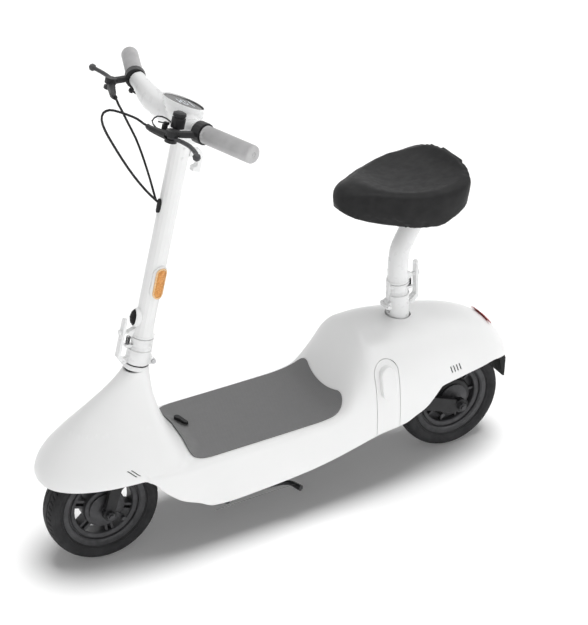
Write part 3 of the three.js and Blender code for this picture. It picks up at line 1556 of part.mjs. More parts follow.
const leftCable = [
  [barrelX, barrelY - 2 * gap, barrelZ], [121.3, 75.5, 880.2], [127, 71, 882.5], [138, 66, 888.5],
  [153, 55, 891.5], [168, 44, 893], [182, 34, 892], [190, 26, 883], [188, 20, 867], [174, 14, 844], [150, 9, 815], [123, 6, 784], [90, 5, 749],
  [57, 5, 719], [36, 5, 703], [27.5, 5, 697],
];
const rightCable = [
  [barrelX, 2 * gap - barrelY, barrelZ], [120, -75.5, 879], [115, -72.5, 870], [105, -72, 857],
  [92, -62, 836], [76, -48, 810],
  [63, -35, 783], [53, -24, 759], [41, -14, 730], [32, -7, 707], [27.5, -5, 697],
];
const displayWire = [
  [41.5, 32, 869], [59, 32, 881], [78, 30, 884], [86, 27, 873], [72, 22, 858], [48, 16, 847], [23.8, 10.4, 842],
];
const wireRadius = 1.5;
const cordSides = 6;
function cord(route, radius) {
  return bar(route, route.map(() => radius), cordSides, 2 * (route.length - 1));
}
part('brake_cable_left', cord(leftCable, cableRadius), rubber, steering);
part('brake_cable_right', cord(rightCable, cableRadius), rubber, steering);
part('display_wire', cord(displayWire, wireRadius), rubber, steering);

// Seat post: the same fold hardware turned about, so that it folds forward

const seatSeam = 462;
const seatHingeDrop = 53;
const seatBaseLow = towerTop + gap;
const postRadius = 22;
const postTaper = 20;
const postStraight = 28;
const postPath = [
  [0, 0, gap / 2], [0, 0, postStraight], [6, 0, 75], [27, 0, 115], [48, 0, 147], [60, 0, 168],
];
const seatPost = new THREE.Group();
seatPost.position.set(seatPostX, 0, seatSeam);
seatPost.rotation.z = Math.PI;
scooter.add(seatPost);

const postCollar = turned([
  [0, gap / 2], [foldRing, gap / 2], [foldRing, collarDrop], [postRadius, postTaper], [0, postTaper],
], foldSides);
const postBore = drum(foldBore, -overrun, postStraight);

part('seat_fold_base', foldBase(seatBaseLow - seatSeam, 0, seatHingeDrop, [hingeBolt(seatHingeDrop)]),
  whiteMetal, seatPost);
part('seat_latch_lever', latchLever(), whiteMetal, seatPost);
part('seat_latch_spring', latchSpring(), blackPlastic, seatPost);
// Saddle: a soft top with a dished seat, a crease and a drawn-in skirt, on a stiff base

const saddleRear = -441;
const saddleNose = -149;
const saddleHalfWidth = 125;
const saddleRim = 728;
const skirtShare = 0.88;
const saddleHollow = 7;
const basePlate = 5;
const baseInsetShare = 0.9;
// From rear to nose: place along, half width, rim, lower edge and dip of the middle, as shares
const saddleShares = [
  [0.000, 0.31, 1.018, 0.924, 0],
  [0.024, 0.60, 1.012, 0.916, 0.004],
  [0.070, 0.86, 1.000, 0.907, 0.009],
  [0.135, 0.95, 0.992, 0.894, 0.012],
  [0.224, 0.98, 0.986, 0.879, 0.014],
  [0.312, 0.99, 0.983, 0.871, 0.015],
  [0.400, 0.96, 0.981, 0.867, 0.014],
  [0.488, 0.90, 0.980, 0.867, 0.012],
  [0.591, 0.79, 0.981, 0.872, 0.008],
  [0.694, 0.65, 0.985, 0.880, 0.001],
  [0.797, 0.475, 0.988, 0.890, -0.008],
  [0.885, 0.345, 0.988, 0.903, -0.012],
  [0.944, 0.24, 0.983, 0.917, -0.010],
  [0.982, 0.14, 0.973, 0.929, -0.005],
  [1.000, 0.05, 0.962, 0.938, 0],
];
// The section: across as a share of the half width, and up from the lower edge to the rim
const skirtSectionShares = [
  [skirtShare, 0], [0.93, 0.3], [0.975, 0.6], [1, 0.86], [0.985, 0.97], [0.945, 1.02],
];
const dishSectionShares = [[0.84, 0.12], [0.66, 0.5], [0.42, 0.82], [0.18, 0.97]];

function saddlePlace([share, width, rim, low, dip]) {
  const depth = (rim - low) * saddleRim;
  return {
    x: saddleRear + (saddleNose - saddleRear) * share,
    half: width * saddleHalfWidth,
    rim: rim * saddleRim,
    low: low * saddleRim,
    hollow: Math.min(saddleHollow, depth / 3),
    dip: dip * saddleRim,
    depth,
  };
}

function saddleRing(row) {
  const { x, half, rim, low, hollow, dip, depth } = saddlePlace(row);
  const side = [
    [0.55 * skirtShare, low + hollow], [0.93 * skirtShare, low + hollow],
    ...skirtSectionShares.map(([across, up]) => [across, low + up * depth]),
    ...dishSectionShares.map(([across, down]) => [across, rim + 0.02 * depth - down * dip]),
  ];
  const points = [[0, low + hollow], ...side, [0, rim + 0.02 * depth - dip]];
  const mirror = side.slice().reverse().map(([across, z]) => [-across, z]);
  return [...points, ...mirror].map(([across, z]) => new THREE.Vector3(x, across * half, z));
}

// The base plate's section, from its own lower face up to a height above the hollow
function saddleBaseRing(row, drop, rise) {
  const { x, half, low, hollow } = saddlePlace(row);
  const across = half * skirtShare * baseInsetShare;
  const top = low + hollow - gap + rise;
  const bottom = low + hollow - gap - basePlate - drop;
  const narrow = across * baseInsetShare;
  return [[-across, top], [across, top], [narrow, bottom], [-narrow, bottom]]
    .map(([y, z]) => new THREE.Vector3(x, y, z));
}
part('saddle', loft(saddleShares.map(saddleRing)), saddleBlack);
const baseRows = saddleShares.slice(1, -1);
part('saddle_base', loft(baseRows.map((row) => saddleBaseRing(row, 0, 0))), blackPlastic);

// The post ends just under the base plate, whose lower face it follows
const aboveBase = loft(baseRows.map((row) => saddleBaseRing(row, gap, 2 * overrun)))
  .translate(-seatPostX, 0, -seatSeam)
  .rotateZ(Math.PI);
part('seat_post', cut(join(
  bar(postPath, postPath.map(() => postRadius), 14, 10),
  postCollar,
  foldFoot(seatHingeDrop),
), postBore, aboveBase), whiteMetal, seatPost);

// The origin goes to the middle of the overall box, on the ground
scooter.updateMatrixWorld(true);
const overall = new THREE.Box3().setFromObject(scooter);
scooter.position.x = -(overall.min.x + overall.max.x) / 2;
const overallSize = overall.getSize(new THREE.Vector3()).toArray();
console.log('shift', scooter.position.x.toFixed(3), 'mm, size', overallSize);

export default scooter;
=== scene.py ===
"""A seated electric scooter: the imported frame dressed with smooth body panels, a padded saddle,
treaded tyres and procedural materials. Sizes are in millimetres, from the middle between the axles."""
import math

import bmesh
import bpy
import numpy as np
from mathutils import Matrix, Vector


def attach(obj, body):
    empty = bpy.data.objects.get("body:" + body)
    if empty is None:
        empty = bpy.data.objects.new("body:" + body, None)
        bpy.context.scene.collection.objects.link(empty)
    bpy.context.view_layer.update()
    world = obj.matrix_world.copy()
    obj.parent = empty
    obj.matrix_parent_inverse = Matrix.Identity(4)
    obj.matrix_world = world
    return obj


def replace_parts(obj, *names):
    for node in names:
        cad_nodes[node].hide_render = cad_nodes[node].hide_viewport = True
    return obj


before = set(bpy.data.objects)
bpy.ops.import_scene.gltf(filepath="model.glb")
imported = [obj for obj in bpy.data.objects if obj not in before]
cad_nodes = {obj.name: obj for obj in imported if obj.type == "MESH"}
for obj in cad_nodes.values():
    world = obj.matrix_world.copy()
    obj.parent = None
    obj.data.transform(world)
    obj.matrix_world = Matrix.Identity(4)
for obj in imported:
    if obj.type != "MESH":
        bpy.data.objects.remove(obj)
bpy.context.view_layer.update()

MM = 0.001
FRAME_SHIFT = 4.506  # the row frame's origin is the middle of the box, not of the wheelbase


def metres(points):
    """Points in millimetres between the axles as metres in the row frame."""
    return (np.asarray(points, float) + (FRAME_SHIFT, 0.0, 0.0)) * MM


# Camera, at the photograph's angle

CAMERA_AZIMUTH = math.radians(153.55)
CAMERA_ELEVATION = math.radians(29.926)
CAMERA_ROLL = math.radians(-2.063)
CAMERA_DISTANCE = 3730.3
CAMERA_TARGET = (-14.4, 61.5, 495.8)
CAMERA_LENS = 101.9


def make_camera():
    turn = (Matrix.Rotation(CAMERA_AZIMUTH, 4, "Z")
            @ Matrix.Rotation(math.pi / 2 - CAMERA_ELEVATION, 4, "X")
            @ Matrix.Rotation(CAMERA_ROLL, 4, "Z"))
    camera = bpy.data.objects.new("camera", bpy.data.cameras.new("camera"))
    camera.data.lens = CAMERA_LENS
    back = turn.to_3x3() @ Vector((0, 0, CAMERA_DISTANCE * MM))
    camera.matrix_world = Matrix.Translation(Vector(metres(CAMERA_TARGET)) + back) @ turn
    bpy.context.collection.objects.link(camera)
    bpy.context.scene.camera = camera


make_camera()

# Meshes: rings joined into closed skins, and cuts between them


def linked(name, mesh):
    piece = bpy.data.objects.new(name, mesh)
    bpy.context.collection.objects.link(piece)
    return piece


def new_object(name, vertices, faces):
    mesh = bpy.data.meshes.new(name)
    mesh.from_pydata([tuple(v) for v in vertices], [], faces)
    shape = bmesh.new()
    shape.from_mesh(mesh)
    bmesh.ops.recalc_face_normals(shape, faces=shape.faces)
    shape.to_mesh(mesh)
    shape.free()
    return linked(name, mesh)


def ring_faces(rows, count, closed_rows=False):
    faces = []
    for row in range(rows if closed_rows else rows - 1):
        below, above = row * count, ((row + 1) % rows) * count
        for k in range(count):
            n = (k + 1) % count
            faces.append((below + k, below + n, above + n, above + k))
    return faces


def loft(name, rings):
    """A closed skin over rings with the same number of points, with a fan over each end."""
    rings = [np.asarray(ring, float) for ring in rings]
    count = len(rings[0])
    vertices = np.concatenate(rings + [rings[0].mean(0)[None], rings[-1].mean(0)[None]])
    faces = ring_faces(len(rings), count)
    first, last = len(vertices) - 2, len(vertices) - 1
    end = (len(rings) - 1) * count
    for k in range(count):
        n = (k + 1) % count
        faces.append((n, k, first))
        faces.append((end + k, end + n, last))
    return new_object(name, metres(vertices), faces)


def block_between(name, lower, upper):
    """A closed block between two outlines with the same number of points."""
    count = len(lower)
    lid = tuple(range(count, 2 * count))
    faces = ring_faces(2, count) + [tuple(range(count - 1, -1, -1)), lid]
    return new_object(name, metres(np.concatenate([lower, upper])), faces)


def side_prism(name, outline, low_y, high_y):
    """A block with an outline of (x, z) points and its thickness along Y."""
    x, z = np.transpose(outline)
    ends = [np.column_stack([x, np.full(len(x), y), z]) for y in (low_y, high_y)]
    return block_between(name, *ends)


def top_prism(name, outline, low, high):
    """A block with an outline of (x, y) points and its height along Z."""
    ends = [np.column_stack([outline, np.full(len(outline), z)]) for z in (low, high)]
    return block_between(name, *ends)


def evaluated_mesh(piece):
    return bpy.data.meshes.new_from_object(piece.evaluated_get(bpy.context.evaluated_depsgraph_get()))


def applied(piece):
    """The piece with its modifiers made part of its mesh."""
    mesh = evaluated_mesh(piece)
    piece.modifiers.clear()
    piece.data = mesh
    return piece


def combined(base, operation, *tools):
    """The base after boolean operations with the tools, which are used up."""
    for tool in tools:
        modifier = base.modifiers.new("cut", "BOOLEAN")
        modifier.operation = operation
        modifier.solver = "MANIFOLD"
        modifier.object = tool
        applied(base)
        bpy.data.objects.remove(tool)
    return base


def joined(name, pieces):
    shape = bmesh.new()
    for piece in pieces:
        shape.from_mesh(piece.data)
        bpy.data.objects.remove(piece)
    mesh = bpy.data.meshes.new(name)
    shape.to_mesh(mesh)
    shape.free()
    return linked(name, mesh)


def remeshed(piece, voxel, smoothing):
    """The piece with an even mesh of small faces, relaxed a number of times."""
    modifier = piece.modifiers.new("even", "REMESH")
    modifier.mode = "VOXEL"
    modifier.voxel_size = voxel * MM
    relax = piece.modifiers.new("relax", "SMOOTH")
    relax.iterations = smoothing
    relax.factor = 0.5
    return applied(piece)


def duplicate(piece, name):
    twin = piece.copy()
    twin.data = piece.data.copy()
    twin.name = name
    bpy.context.collection.objects.link(twin)
    return twin


def full_turn(sides):
    """Evenly spread angles around a circle."""
    return 2 * np.pi * np.arange(sides) / sides


def soften(piece, degrees=35.0):
    """Smooth shading that keeps the edges sharper than an angle."""
    piece.data.shade_smooth()
    piece.data.set_sharp_from_angle(angle=math.radians(degrees))
    return piece


def mirrored(piece, name):
    twin = duplicate(piece, name)
    twin.data.transform(Matrix.Scale(-1, 4, (0, 1, 0)))
    twin.data.flip_normals()
    return twin


# The body's surface, from the same tables as the solids

WHEELBASE = 866.0
TYRE_RADIUS = 127.0
AXLE_X = WHEELBASE / 2
TAIL_X = -AXLE_X - 141.0
NOSE_X = AXLE_X + 132.0
BODY_LENGTH = NOSE_X - TAIL_X
DECK_HEIGHT = 236.0
HUMP_HEIGHT = 384.0
BODY_HALF_WIDTH = 133.0
DECK_LIP = 8.0
BODY_WALL = 4.0
SILL_TUCK = 17.0
BODY_FLOOR = 98.0
NECK_X = 327.0
RAKE = math.radians(16.0)
AXLE_LEAD = 17.0
STEER_X = AXLE_X - AXLE_LEAD * math.cos(RAKE)
STEER_Z = TYRE_RADIUS - AXLE_LEAD * math.sin(RAKE)
SEAM_HEIGHT = 398.0
NECK_DROP = 71.6
NECK_TOP = STEER_Z + (SEAM_HEIGHT - NECK_DROP) * math.cos(RAKE)
NECK_RADIUS = 27.5
NOSE_HALF_WIDTH = 121.0
NOSE_RIM = 233.0
NOSE_START = 0.16
NECK_BLEND = 16.0
BELL_REAR = 0.725
TOWER_DEPTH = 0.62
SEAT_POST_X = -303.0
OVERRUN = 20.0
SPAN = BODY_HALF_WIDTH + OVERRUN
GAP = 0.3
BODY_ROWS = [
    (0.0000, -0.1027, 0.10, 0.92, 2.2), (0.0030, 0.027, 0.22, 0.92, 2.2),
    (0.0120, 0.1957, 0.38, 0.93, 2.2), (0.0300, 0.3903, 0.55, 0.94, 2.2),
    (0.0560, 0.5849, 0.69, 0.95, 2.3), (0.0910, 0.7276, 0.79, 0.97, 2.4),
    (0.1350, 0.8391, 0.865, 0.98, 2.5), (0.1970, 0.9351, 0.925, 0.98, 2.6),
    (0.2490, 0.9818, 0.955, 0.97, 2.7), (0.3020, 1.013, 0.975, 0.96, 2.9),
    (0.3370, 1.0078, 0.985, 0.95, 2.9), (0.3560, 0.9481, 0.99, 0.94, 2.9),
    (0.3720, 0.7795, 0.99, 0.93, 2.9), (0.3880, 0.5459, 0.99, 0.92, 3.2),
    (0.4060, 0.2865, 0.99, 0.90, 4.2), (0.4230, 0.1178, 0.99, 0.88, 5.5),
    (0.4425, 0.04, 0.99, 0.86, 7.0), (0.4776, 0.0192, 0.99, 0.85, 7.0),
    (0.5740, 0.0166, 0.985, 0.85, 7.0), (0.6800, 0.0166, 0.985, 0.86, 7.0),
    (0.7340, 0.0218, 0.98, 0.88, 6.0), (0.7670, 0.0296, 0.97, 0.91, 5.0),
    (0.8020, 0.0296, 0.95, 0.95, 4.0), (0.8240, 0.0296, 0.935, 0.98, 3.0),
    (1.0000, 0.0141, 0.50, 0.987, 2.4),
]
UNDER_ROWS = [
    (0.000, 0.905), (0.030, 0.985), (0.075, 1.045), (0.120, 1.045), (0.160, 1.035), (0.197, 1.020),
    (0.213, 0.950), (0.236, 0.845), (0.262, 0.787), (0.285, 0.740), (0.340, 0.715), (0.400, 0.645),
    (0.430, 0.610), (0.470, 0.570), (0.500, 0.545), (0.580, 0.505), (0.660, 0.485), (0.700, 0.505),
    (0.727, 0.585), (0.764, 0.680), (0.792, 0.805), (0.820, 0.960), (0.835, 0.987), (1.000, 0.987),
]


def row_at(rows, place):
    """Smooth values between the rows of a table whose first column rises."""
    k = 0
    while k < len(rows) - 2 and rows[k + 1][0] < place:
        k += 1
    width = rows[k + 1][0] - rows[k][0]
    t = min(max((place - rows[k][0]) / width, 0.0), 1.0)

    def rise(row, column):
        if row < 0 or row > len(rows) - 2:
            return 0.0
        return (rows[row + 1][column] - rows[row][column]) / (rows[row + 1][0] - rows[row][0])

    def slope(row, column):
        before, after = rise(row - 1, column), rise(row, column)
        return 2 * before * after / (before + after) if before * after > 0 else 0.0

    values = []
    for column, value in enumerate(rows[k]):
        blend = t * t * (3 - 2 * t)
        leave = slope(k, column) * width * t * (1 - t) ** 2
        arrive = slope(k + 1, column) * width * t * t * (1 - t)
        values.append(value + (rows[k + 1][column] - value) * blend + leave - arrive)
    return values


def under_edge(x):
    return row_at(UNDER_ROWS, (x - TAIL_X) / BODY_LENGTH)[1] * DECK_HEIGHT


def bell_slice(depth, inset):
    """Half sizes of the nose and neck's level slice: depth 0 is the neck's top and 1 the rim."""
    bulge = np.sin(math.pi / 2 * depth ** 1.15)
    flare = ((1 - np.cos(math.pi * depth)) / 2) ** 1.1
    rear_reach = NECK_X - (TAIL_X + BODY_LENGTH * BELL_REAR)
    return (NECK_RADIUS + (NOSE_X - NECK_X - NECK_RADIUS) * bulge - inset,
            NECK_RADIUS + rear_reach * depth ** 3 - inset,
            NECK_RADIUS + (NOSE_HALF_WIDTH - NECK_RADIUS) * flare - inset,
            2 + 0.4 * depth)


def bell_reach(depth, x, y, inset):
    front, rear, side, square = bell_slice(depth, inset)
    lengthwise = np.abs(x - NECK_X) / (front if x > NECK_X else rear)
    return lengthwise ** square + np.abs(y / side) ** square


def bell_height(x, y, inset):
    y = np.asarray(y, float)
    height = NECK_TOP - NOSE_RIM
    inside = np.ones_like(y)
    outside = np.zeros_like(y)
    for _ in range(26):
        middle = (inside + outside) / 2
        within = bell_reach(middle, x, y, inset) <= 1
        inside = np.where(within, middle, inside)
        outside = np.where(within, outside, middle)
    result = NECK_TOP - height * inside - inset
    rim_reach = bell_reach(np.ones_like(y), x, y, inset)
    return np.where(rim_reach > 1, NOSE_RIM - inset - (rim_reach - 1) * height / 3, result)


def smooth_max(a, b, blend):
    share = np.maximum(blend - np.abs(a - b), 0) / blend
    return np.maximum(a, b) + share * share * blend / 4


def section_at(x, inset):
    _, top, width, side, square = row_at(BODY_ROWS, (x - TAIL_X) / BODY_LENGTH)
    if x > NECK_X + (NOSE_X - NECK_X) * NOSE_START:
        front, _, flank, bend = bell_slice(1.0, inset)
        half = flank * max(1 - min((x - NECK_X) / front, 1.0) ** bend, 0.0) ** (1 / bend)
    else:
        half = width * BODY_HALF_WIDTH - inset
    return half, DECK_HEIGHT + top * (HUMP_HEIGHT - DECK_HEIGHT) - inset, side * DECK_HEIGHT, square


TOWER_START = NOSE_RIM + (NECK_TOP - NOSE_RIM) * 0.5


def arch_height(section, across):
    _, top, side, square = section
    dome = (1 - np.minimum(across, 1) ** square) ** (1 / square)
    dish = min(max((square - 3) / 4, 0.0), 1.0)
    return side + (top - side) * dome + DECK_LIP * dish * dome * across ** 4


def body_ring(x, inset, slices, wall_rows):
    section = section_at(x, inset)
    half, _, side, square = section
    bottom = BODY_FLOOR - inset
    tuck = min(SILL_TUCK, half / 2)
    down = np.arange(1, wall_rows + 1) / wall_rows
    wall_y = half - tuck * down * down
    wall_z = side + (bottom - side) * down
    angle = np.pi * (np.arange(slices + 1) / slices - 0.5)
    across = np.abs(np.sin(angle)) ** (2 / square)
    y = half * np.sign(angle) * across
    bell = np.minimum(bell_height(x, y, inset), TOWER_START - inset)
    arch = arch_height(section, across)
    top = np.column_stack([np.full(slices + 1, x), y, smooth_max(arch, bell, NECK_BLEND)])
    right = np.column_stack([np.full(wall_rows, x), -wall_y, wall_z])[::-1]
    left = np.column_stack([np.full(wall_rows, x), wall_y, wall_z])
    return np.concatenate([right, top, left])


def neck_tower(inset, sides=72, rows=24):
    """The upper part of the nose bell, closed by a level lid where the stem comes out."""
    rings = []
    angle = full_turn(sides)
    for row in range(rows + 1):
        depth = TOWER_DEPTH * (1 - row / rows) ** 1.3
        front, rear, side, square = bell_slice(depth, inset)
        z = NECK_TOP - (NECK_TOP - NOSE_RIM) * depth - inset
        cos = np.sign(np.cos(angle)) * np.abs(np.cos(angle)) ** (2 / square)
        sin = np.sign(np.sin(angle)) * np.abs(np.sin(angle)) ** (2 / square)
        rings.append(np.column_stack([NECK_X + cos * np.where(cos > 0, front, rear), sin * side,
                                      np.full(sides, z)]))
    lid = rings[-1].copy()
    lid[:, 2] = NECK_TOP - min(inset, 0.0)
    rings.append(lid)
    return loft("tower", rings)


def body_solid(name, inset, slices=64, wall_rows=8, stations=200):
    """The whole body, its surface moved inward by an inset or outward by a negative one."""
    share = np.linspace(0, 1, stations + 1)
    ends = (1 - np.cos(np.pi * share)) / 2
    share = 0.6 * share + 0.4 * ends
    share[0], share[-1] = 0.0, 0.99999
    length = BODY_LENGTH - 2 * inset
    hull = loft(name, [body_ring(TAIL_X + inset + length * s, inset, slices, wall_rows) for s in share])
    return combined(hull, "UNION", neck_tower(inset))


def under_space(steps=160):
    """What lies under the body's lower edge."""
    edge = [(x, under_edge(x)) for x in np.linspace(TAIL_X, NOSE_X, steps + 1)]
    low = BODY_FLOOR - 3 * OVERRUN
    outline = ([(TAIL_X - OVERRUN, low), (TAIL_X - OVERRUN, edge[0][1])] + edge
               + [(NOSE_X + OVERRUN, edge[-1][1]), (NOSE_X + OVERRUN, low)])
    return side_prism("under", outline, -SPAN, SPAN)


def capsule(half_width, half_length, steps=16):
    """The outline of a slot with round ends."""
    points = []
    for end in (1, -1):
        for step in range(steps + 1):
            angle = math.pi * step / steps
            points.append((end * half_width * math.cos(angle),
                           end * (half_length - half_width + half_width * math.sin(angle))))
    return points


# Body shell, side panels, pads and mat

PANEL_X = -204.0
PANEL_HALF_WIDTH = 29.0
PANEL_TOP = 345.0
PANEL_SEAM = 1.3
PAD_HALF_WIDTH = 18.5
PAD_HALF_HEIGHT = 38.5
PAD_Z = 295.0
PAD_RISE = 10.5
PAD_VOXEL = 1.3
PANEL_DEPTH = BODY_HALF_WIDTH / 2
VENT_LENGTH = 17.0
VENT_WIDTH = 3.0
VENT_PITCH = 8.0
VENT_DEPTH = 1.5
PAD_SINK = 2.0
REAR_VENTS = (4, -374.0, 272.0, -2.5)
NOSE_VENTS = (2, 396.0, 257.0, -VENT_LENGTH / 2)
SEAT_HOLE = 29.0
MAT_THICKNESS = 2.5
MAT_HALF = 115.5
MAT_CORNER = 44.0
MAT_HOLLOW = 8.0
MAT_REAR = -109.0
MAT_FRONT = 256.0
LAMP_RISE = 7.0
LAMP_HALF = 42
LAMP_OUTLINE = [(-503, 345), (-542, 345), (-542, 306), (-526, 306)]


def panel_outline(grow):
    half = PANEL_HALF_WIDTH + grow
    middle = PANEL_TOP - PANEL_HALF_WIDTH
    points = [(PANEL_X + half, BODY_FLOOR)]
    for step in range(33):
        angle = math.pi * step / 32
        points.append((PANEL_X + half * math.cos(angle), middle + half * math.sin(angle)))
    return points + [(PANEL_X - half, BODY_FLOOR)]


def vent_slots(count, first_x, middle_z, lean):
    """Leaning slots one behind the other, cut through from side to side."""
    slots = []
    for slot in range(count):
        x = first_x - slot * VENT_PITCH
        half = VENT_LENGTH / 2
        slots.append(side_prism("vent", [
            (x + lean, middle_z - half), (x + lean + VENT_WIDTH, middle_z - half),
            (x - lean + VENT_WIDTH, middle_z + half), (x - lean, middle_z + half)], -SPAN, SPAN))
    return slots


def vents():
    return vent_slots(*REAR_VENTS) + vent_slots(*NOSE_VENTS)


def bezier(points, steps=14):
    """Points along a curve with the given handles, without the first."""
    curve = []
    for step in range(1, steps + 1):
        t = step / steps
        work = [np.array(p, float) for p in points]
        while len(work) > 1:
            work = [a + (b - a) * t for a, b in zip(work[:-1], work[1:])]
        curve.append(work[0])
    return curve


def mat_outline():
    bend = MAT_CORNER * 0.3
    inner = MAT_HALF - MAT_CORNER
    hollow_x = MAT_REAR + MAT_HOLLOW
    side = [np.array((hollow_x, 0.0))]
    side += bezier([(hollow_x, 0), (hollow_x, MAT_HALF / 3), (MAT_REAR, inner)])
    side += bezier([(MAT_REAR, inner), (MAT_REAR - MAT_HOLLOW / 2, MAT_HALF - bend),
                    (MAT_REAR + bend, MAT_HALF), (MAT_REAR + MAT_CORNER, MAT_HALF)])
    side.append(np.array((MAT_FRONT - MAT_CORNER, MAT_HALF)))
    side += bezier([(MAT_FRONT - MAT_CORNER, MAT_HALF), (MAT_FRONT - bend, MAT_HALF),
                    (MAT_FRONT, MAT_HALF - bend), (MAT_FRONT, inner)])
    twin = [point * (1, -1) for point in side[1:]]
    return side + twin[::-1]


def layer(name, outer, inner, operation, *tools):
    """What lies between two insets of the body, cut to shape by the tools."""
    skin = combined(body_solid(name, outer), "DIFFERENCE", body_solid("inner", inner))
    return combined(skin, operation, *tools)


def make_body():
    skin = layer("body_skin", 0.0, BODY_WALL, "DIFFERENCE", under_space())
    panel = combined(duplicate(skin, "side_panel_left_skin"), "INTERSECT",
                     side_prism("plate", panel_outline(0.0), PANEL_DEPTH, SPAN))
    angle = full_turn(64)
    seat_circle = np.column_stack([SEAT_POST_X + SEAT_HOLE * np.cos(angle), SEAT_HOLE * np.sin(angle)])
    windows = [side_prism("window", panel_outline(PANEL_SEAM), *span)
               for span in ((PANEL_DEPTH, SPAN), (-SPAN, -PANEL_DEPTH))]
    combined(skin, "DIFFERENCE", *windows,
             top_prism("hole", seat_circle, DECK_HEIGHT, 2 * HUMP_HEIGHT), *vents())
    inserts = layer("vent_inserts", VENT_DEPTH, BODY_WALL - GAP, "INTERSECT", joined("slots", vents()))
    pad_outline = [(PANEL_X + x, PAD_Z + z) for x, z in capsule(PAD_HALF_WIDTH, PAD_HALF_HEIGHT)]
    pad = layer("side_pad_left_skin", -PAD_RISE, PAD_SINK, "INTERSECT",
                side_prism("pad", pad_outline, PANEL_DEPTH, SPAN))
    remeshed(pad, PAD_VOXEL, 9)
    mat = layer("mat_skin", -GAP - MAT_THICKNESS, -GAP, "INTERSECT",
                top_prism("outline", mat_outline(), 0.0, 2 * DECK_HEIGHT))
    lamp = layer("lamp_skin", -LAMP_RISE, PAD_SINK, "INTERSECT",
                 side_prism("lamp", LAMP_OUTLINE, -LAMP_HALF, LAMP_HALF))
    remeshed(lamp, PAD_VOXEL, 6)
    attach(soften(inserts), "root")
    pieces = {
        "body_shell": skin, "side_panel_left": panel,
        "side_panel_right": mirrored(panel, "side_panel_right_skin"), "side_pad_left": pad,
        "side_pad_right": mirrored(pad, "side_pad_right_skin"), "deck_mat": mat, "tail_lamp": lamp,
    }
    for node, piece in pieces.items():
        soften(piece)
        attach(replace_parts(piece, node), "root")
    return pieces, inserts


body_pieces, vent_inserts = make_body()

# Saddle

SADDLE_REAR = -441.0
SADDLE_NOSE = -149.0
SADDLE_HALF_WIDTH = 125.0
SADDLE_RIM = 728.0
SADDLE_ROWS = [
    (0.000, 0.31, 1.018, 0.924, 0), (0.024, 0.60, 1.012, 0.916, 0.004),
    (0.070, 0.86, 1.000, 0.907, 0.009), (0.135, 0.95, 0.992, 0.894, 0.012),
    (0.224, 0.98, 0.986, 0.879, 0.014), (0.312, 0.99, 0.983, 0.871, 0.015),
    (0.400, 0.96, 0.981, 0.867, 0.014), (0.488, 0.90, 0.980, 0.867, 0.012),
    (0.591, 0.79, 0.981, 0.872, 0.008), (0.694, 0.65, 0.985, 0.880, 0.001),
    (0.797, 0.475, 0.988, 0.890, -0.008), (0.885, 0.345, 0.988, 0.903, -0.012),
    (0.944, 0.24, 0.983, 0.917, -0.010), (0.982, 0.14, 0.973, 0.929, -0.005),
    (1.000, 0.05, 0.962, 0.938, 0),
]
SKIRT_SHARE = 0.88
SADDLE_HOLLOW = 7.0
SADDLE_PRESSURE = 4.0
SADDLE_CAP = 3.5
SADDLE_RINGS = 91
SADDLE_POINTS = 96
SADDLE_VOXEL = 4.0
CLOTH_FRAMES = 20
SKIRT_SECTION = [(SKIRT_SHARE, 0), (0.93, 0.3), (0.975, 0.6), (1, 0.86), (0.985, 0.97), (0.945, 1.02)]
DISH_SECTION = [(0.84, 0.12), (0.66, 0.5), (0.42, 0.82), (0.18, 0.97)]


def smooth_line(points, count, closed=False):
    """Points evenly spread along a smooth curve through the given ones."""
    points = np.asarray(points, float)
    if closed:
        route = np.concatenate([points[-1:], points, points[:2]])
    else:
        route = np.concatenate([2 * points[:1] - points[1:2], points, 2 * points[-1:] - points[-2:-1]])
    dense = []
    for k in range(1, len(route) - 2):
        p0, p1, p2, p3 = route[k - 1:k + 3]
        for t in np.linspace(0, 1, 24, endpoint=False):
            dense.append(0.5 * (2 * p1 + (p2 - p0) * t + (2 * p0 - 5 * p1 + 4 * p2 - p3) * t * t
                                + (3 * p1 - p0 - 3 * p2 + p3) * t ** 3))
    dense.append(points[0] if closed else points[-1])
    dense = np.array(dense)
    steps = np.linalg.norm(np.diff(dense, axis=0), axis=1)
    length = np.concatenate([[0], np.cumsum(steps)])
    places = np.linspace(0, length[-1], count, endpoint=not closed)
    return np.column_stack([np.interp(places, length, dense[:, axis]) for axis in range(dense.shape[1])])


def saddle_ring(row, count):
    share, width, rim, low, dip = row
    rim, low, dip = rim * SADDLE_RIM, low * SADDLE_RIM, dip * SADDLE_RIM
    depth = rim - low
    hollow = min(SADDLE_HOLLOW, depth / 3)
    half = width * SADDLE_HALF_WIDTH
    side = ([(0.55 * SKIRT_SHARE, low + hollow), (0.93 * SKIRT_SHARE, low + hollow)]
            + [(across, low + up * depth) for across, up in SKIRT_SECTION]
            + [(across, rim + 0.02 * depth - down * dip) for across, down in DISH_SECTION])
    other = [(-across, z) for across, z in side[::-1]]
    ring = np.array([(0, low + hollow)] + side + [(0, rim + 0.02 * depth - dip)] + other)
    ring[:, 0] *= half
    ring = smooth_line(ring, count, closed=True)
    x = SADDLE_REAR + (SADDLE_NOSE - SADDLE_REAR) * share
    return np.column_stack([np.full(count, x), ring])


def coordinates(mesh):
    flat = np.empty(len(mesh.vertices) * 3)
    mesh.vertices.foreach_get("co", flat)
    return flat.reshape(-1, 3)


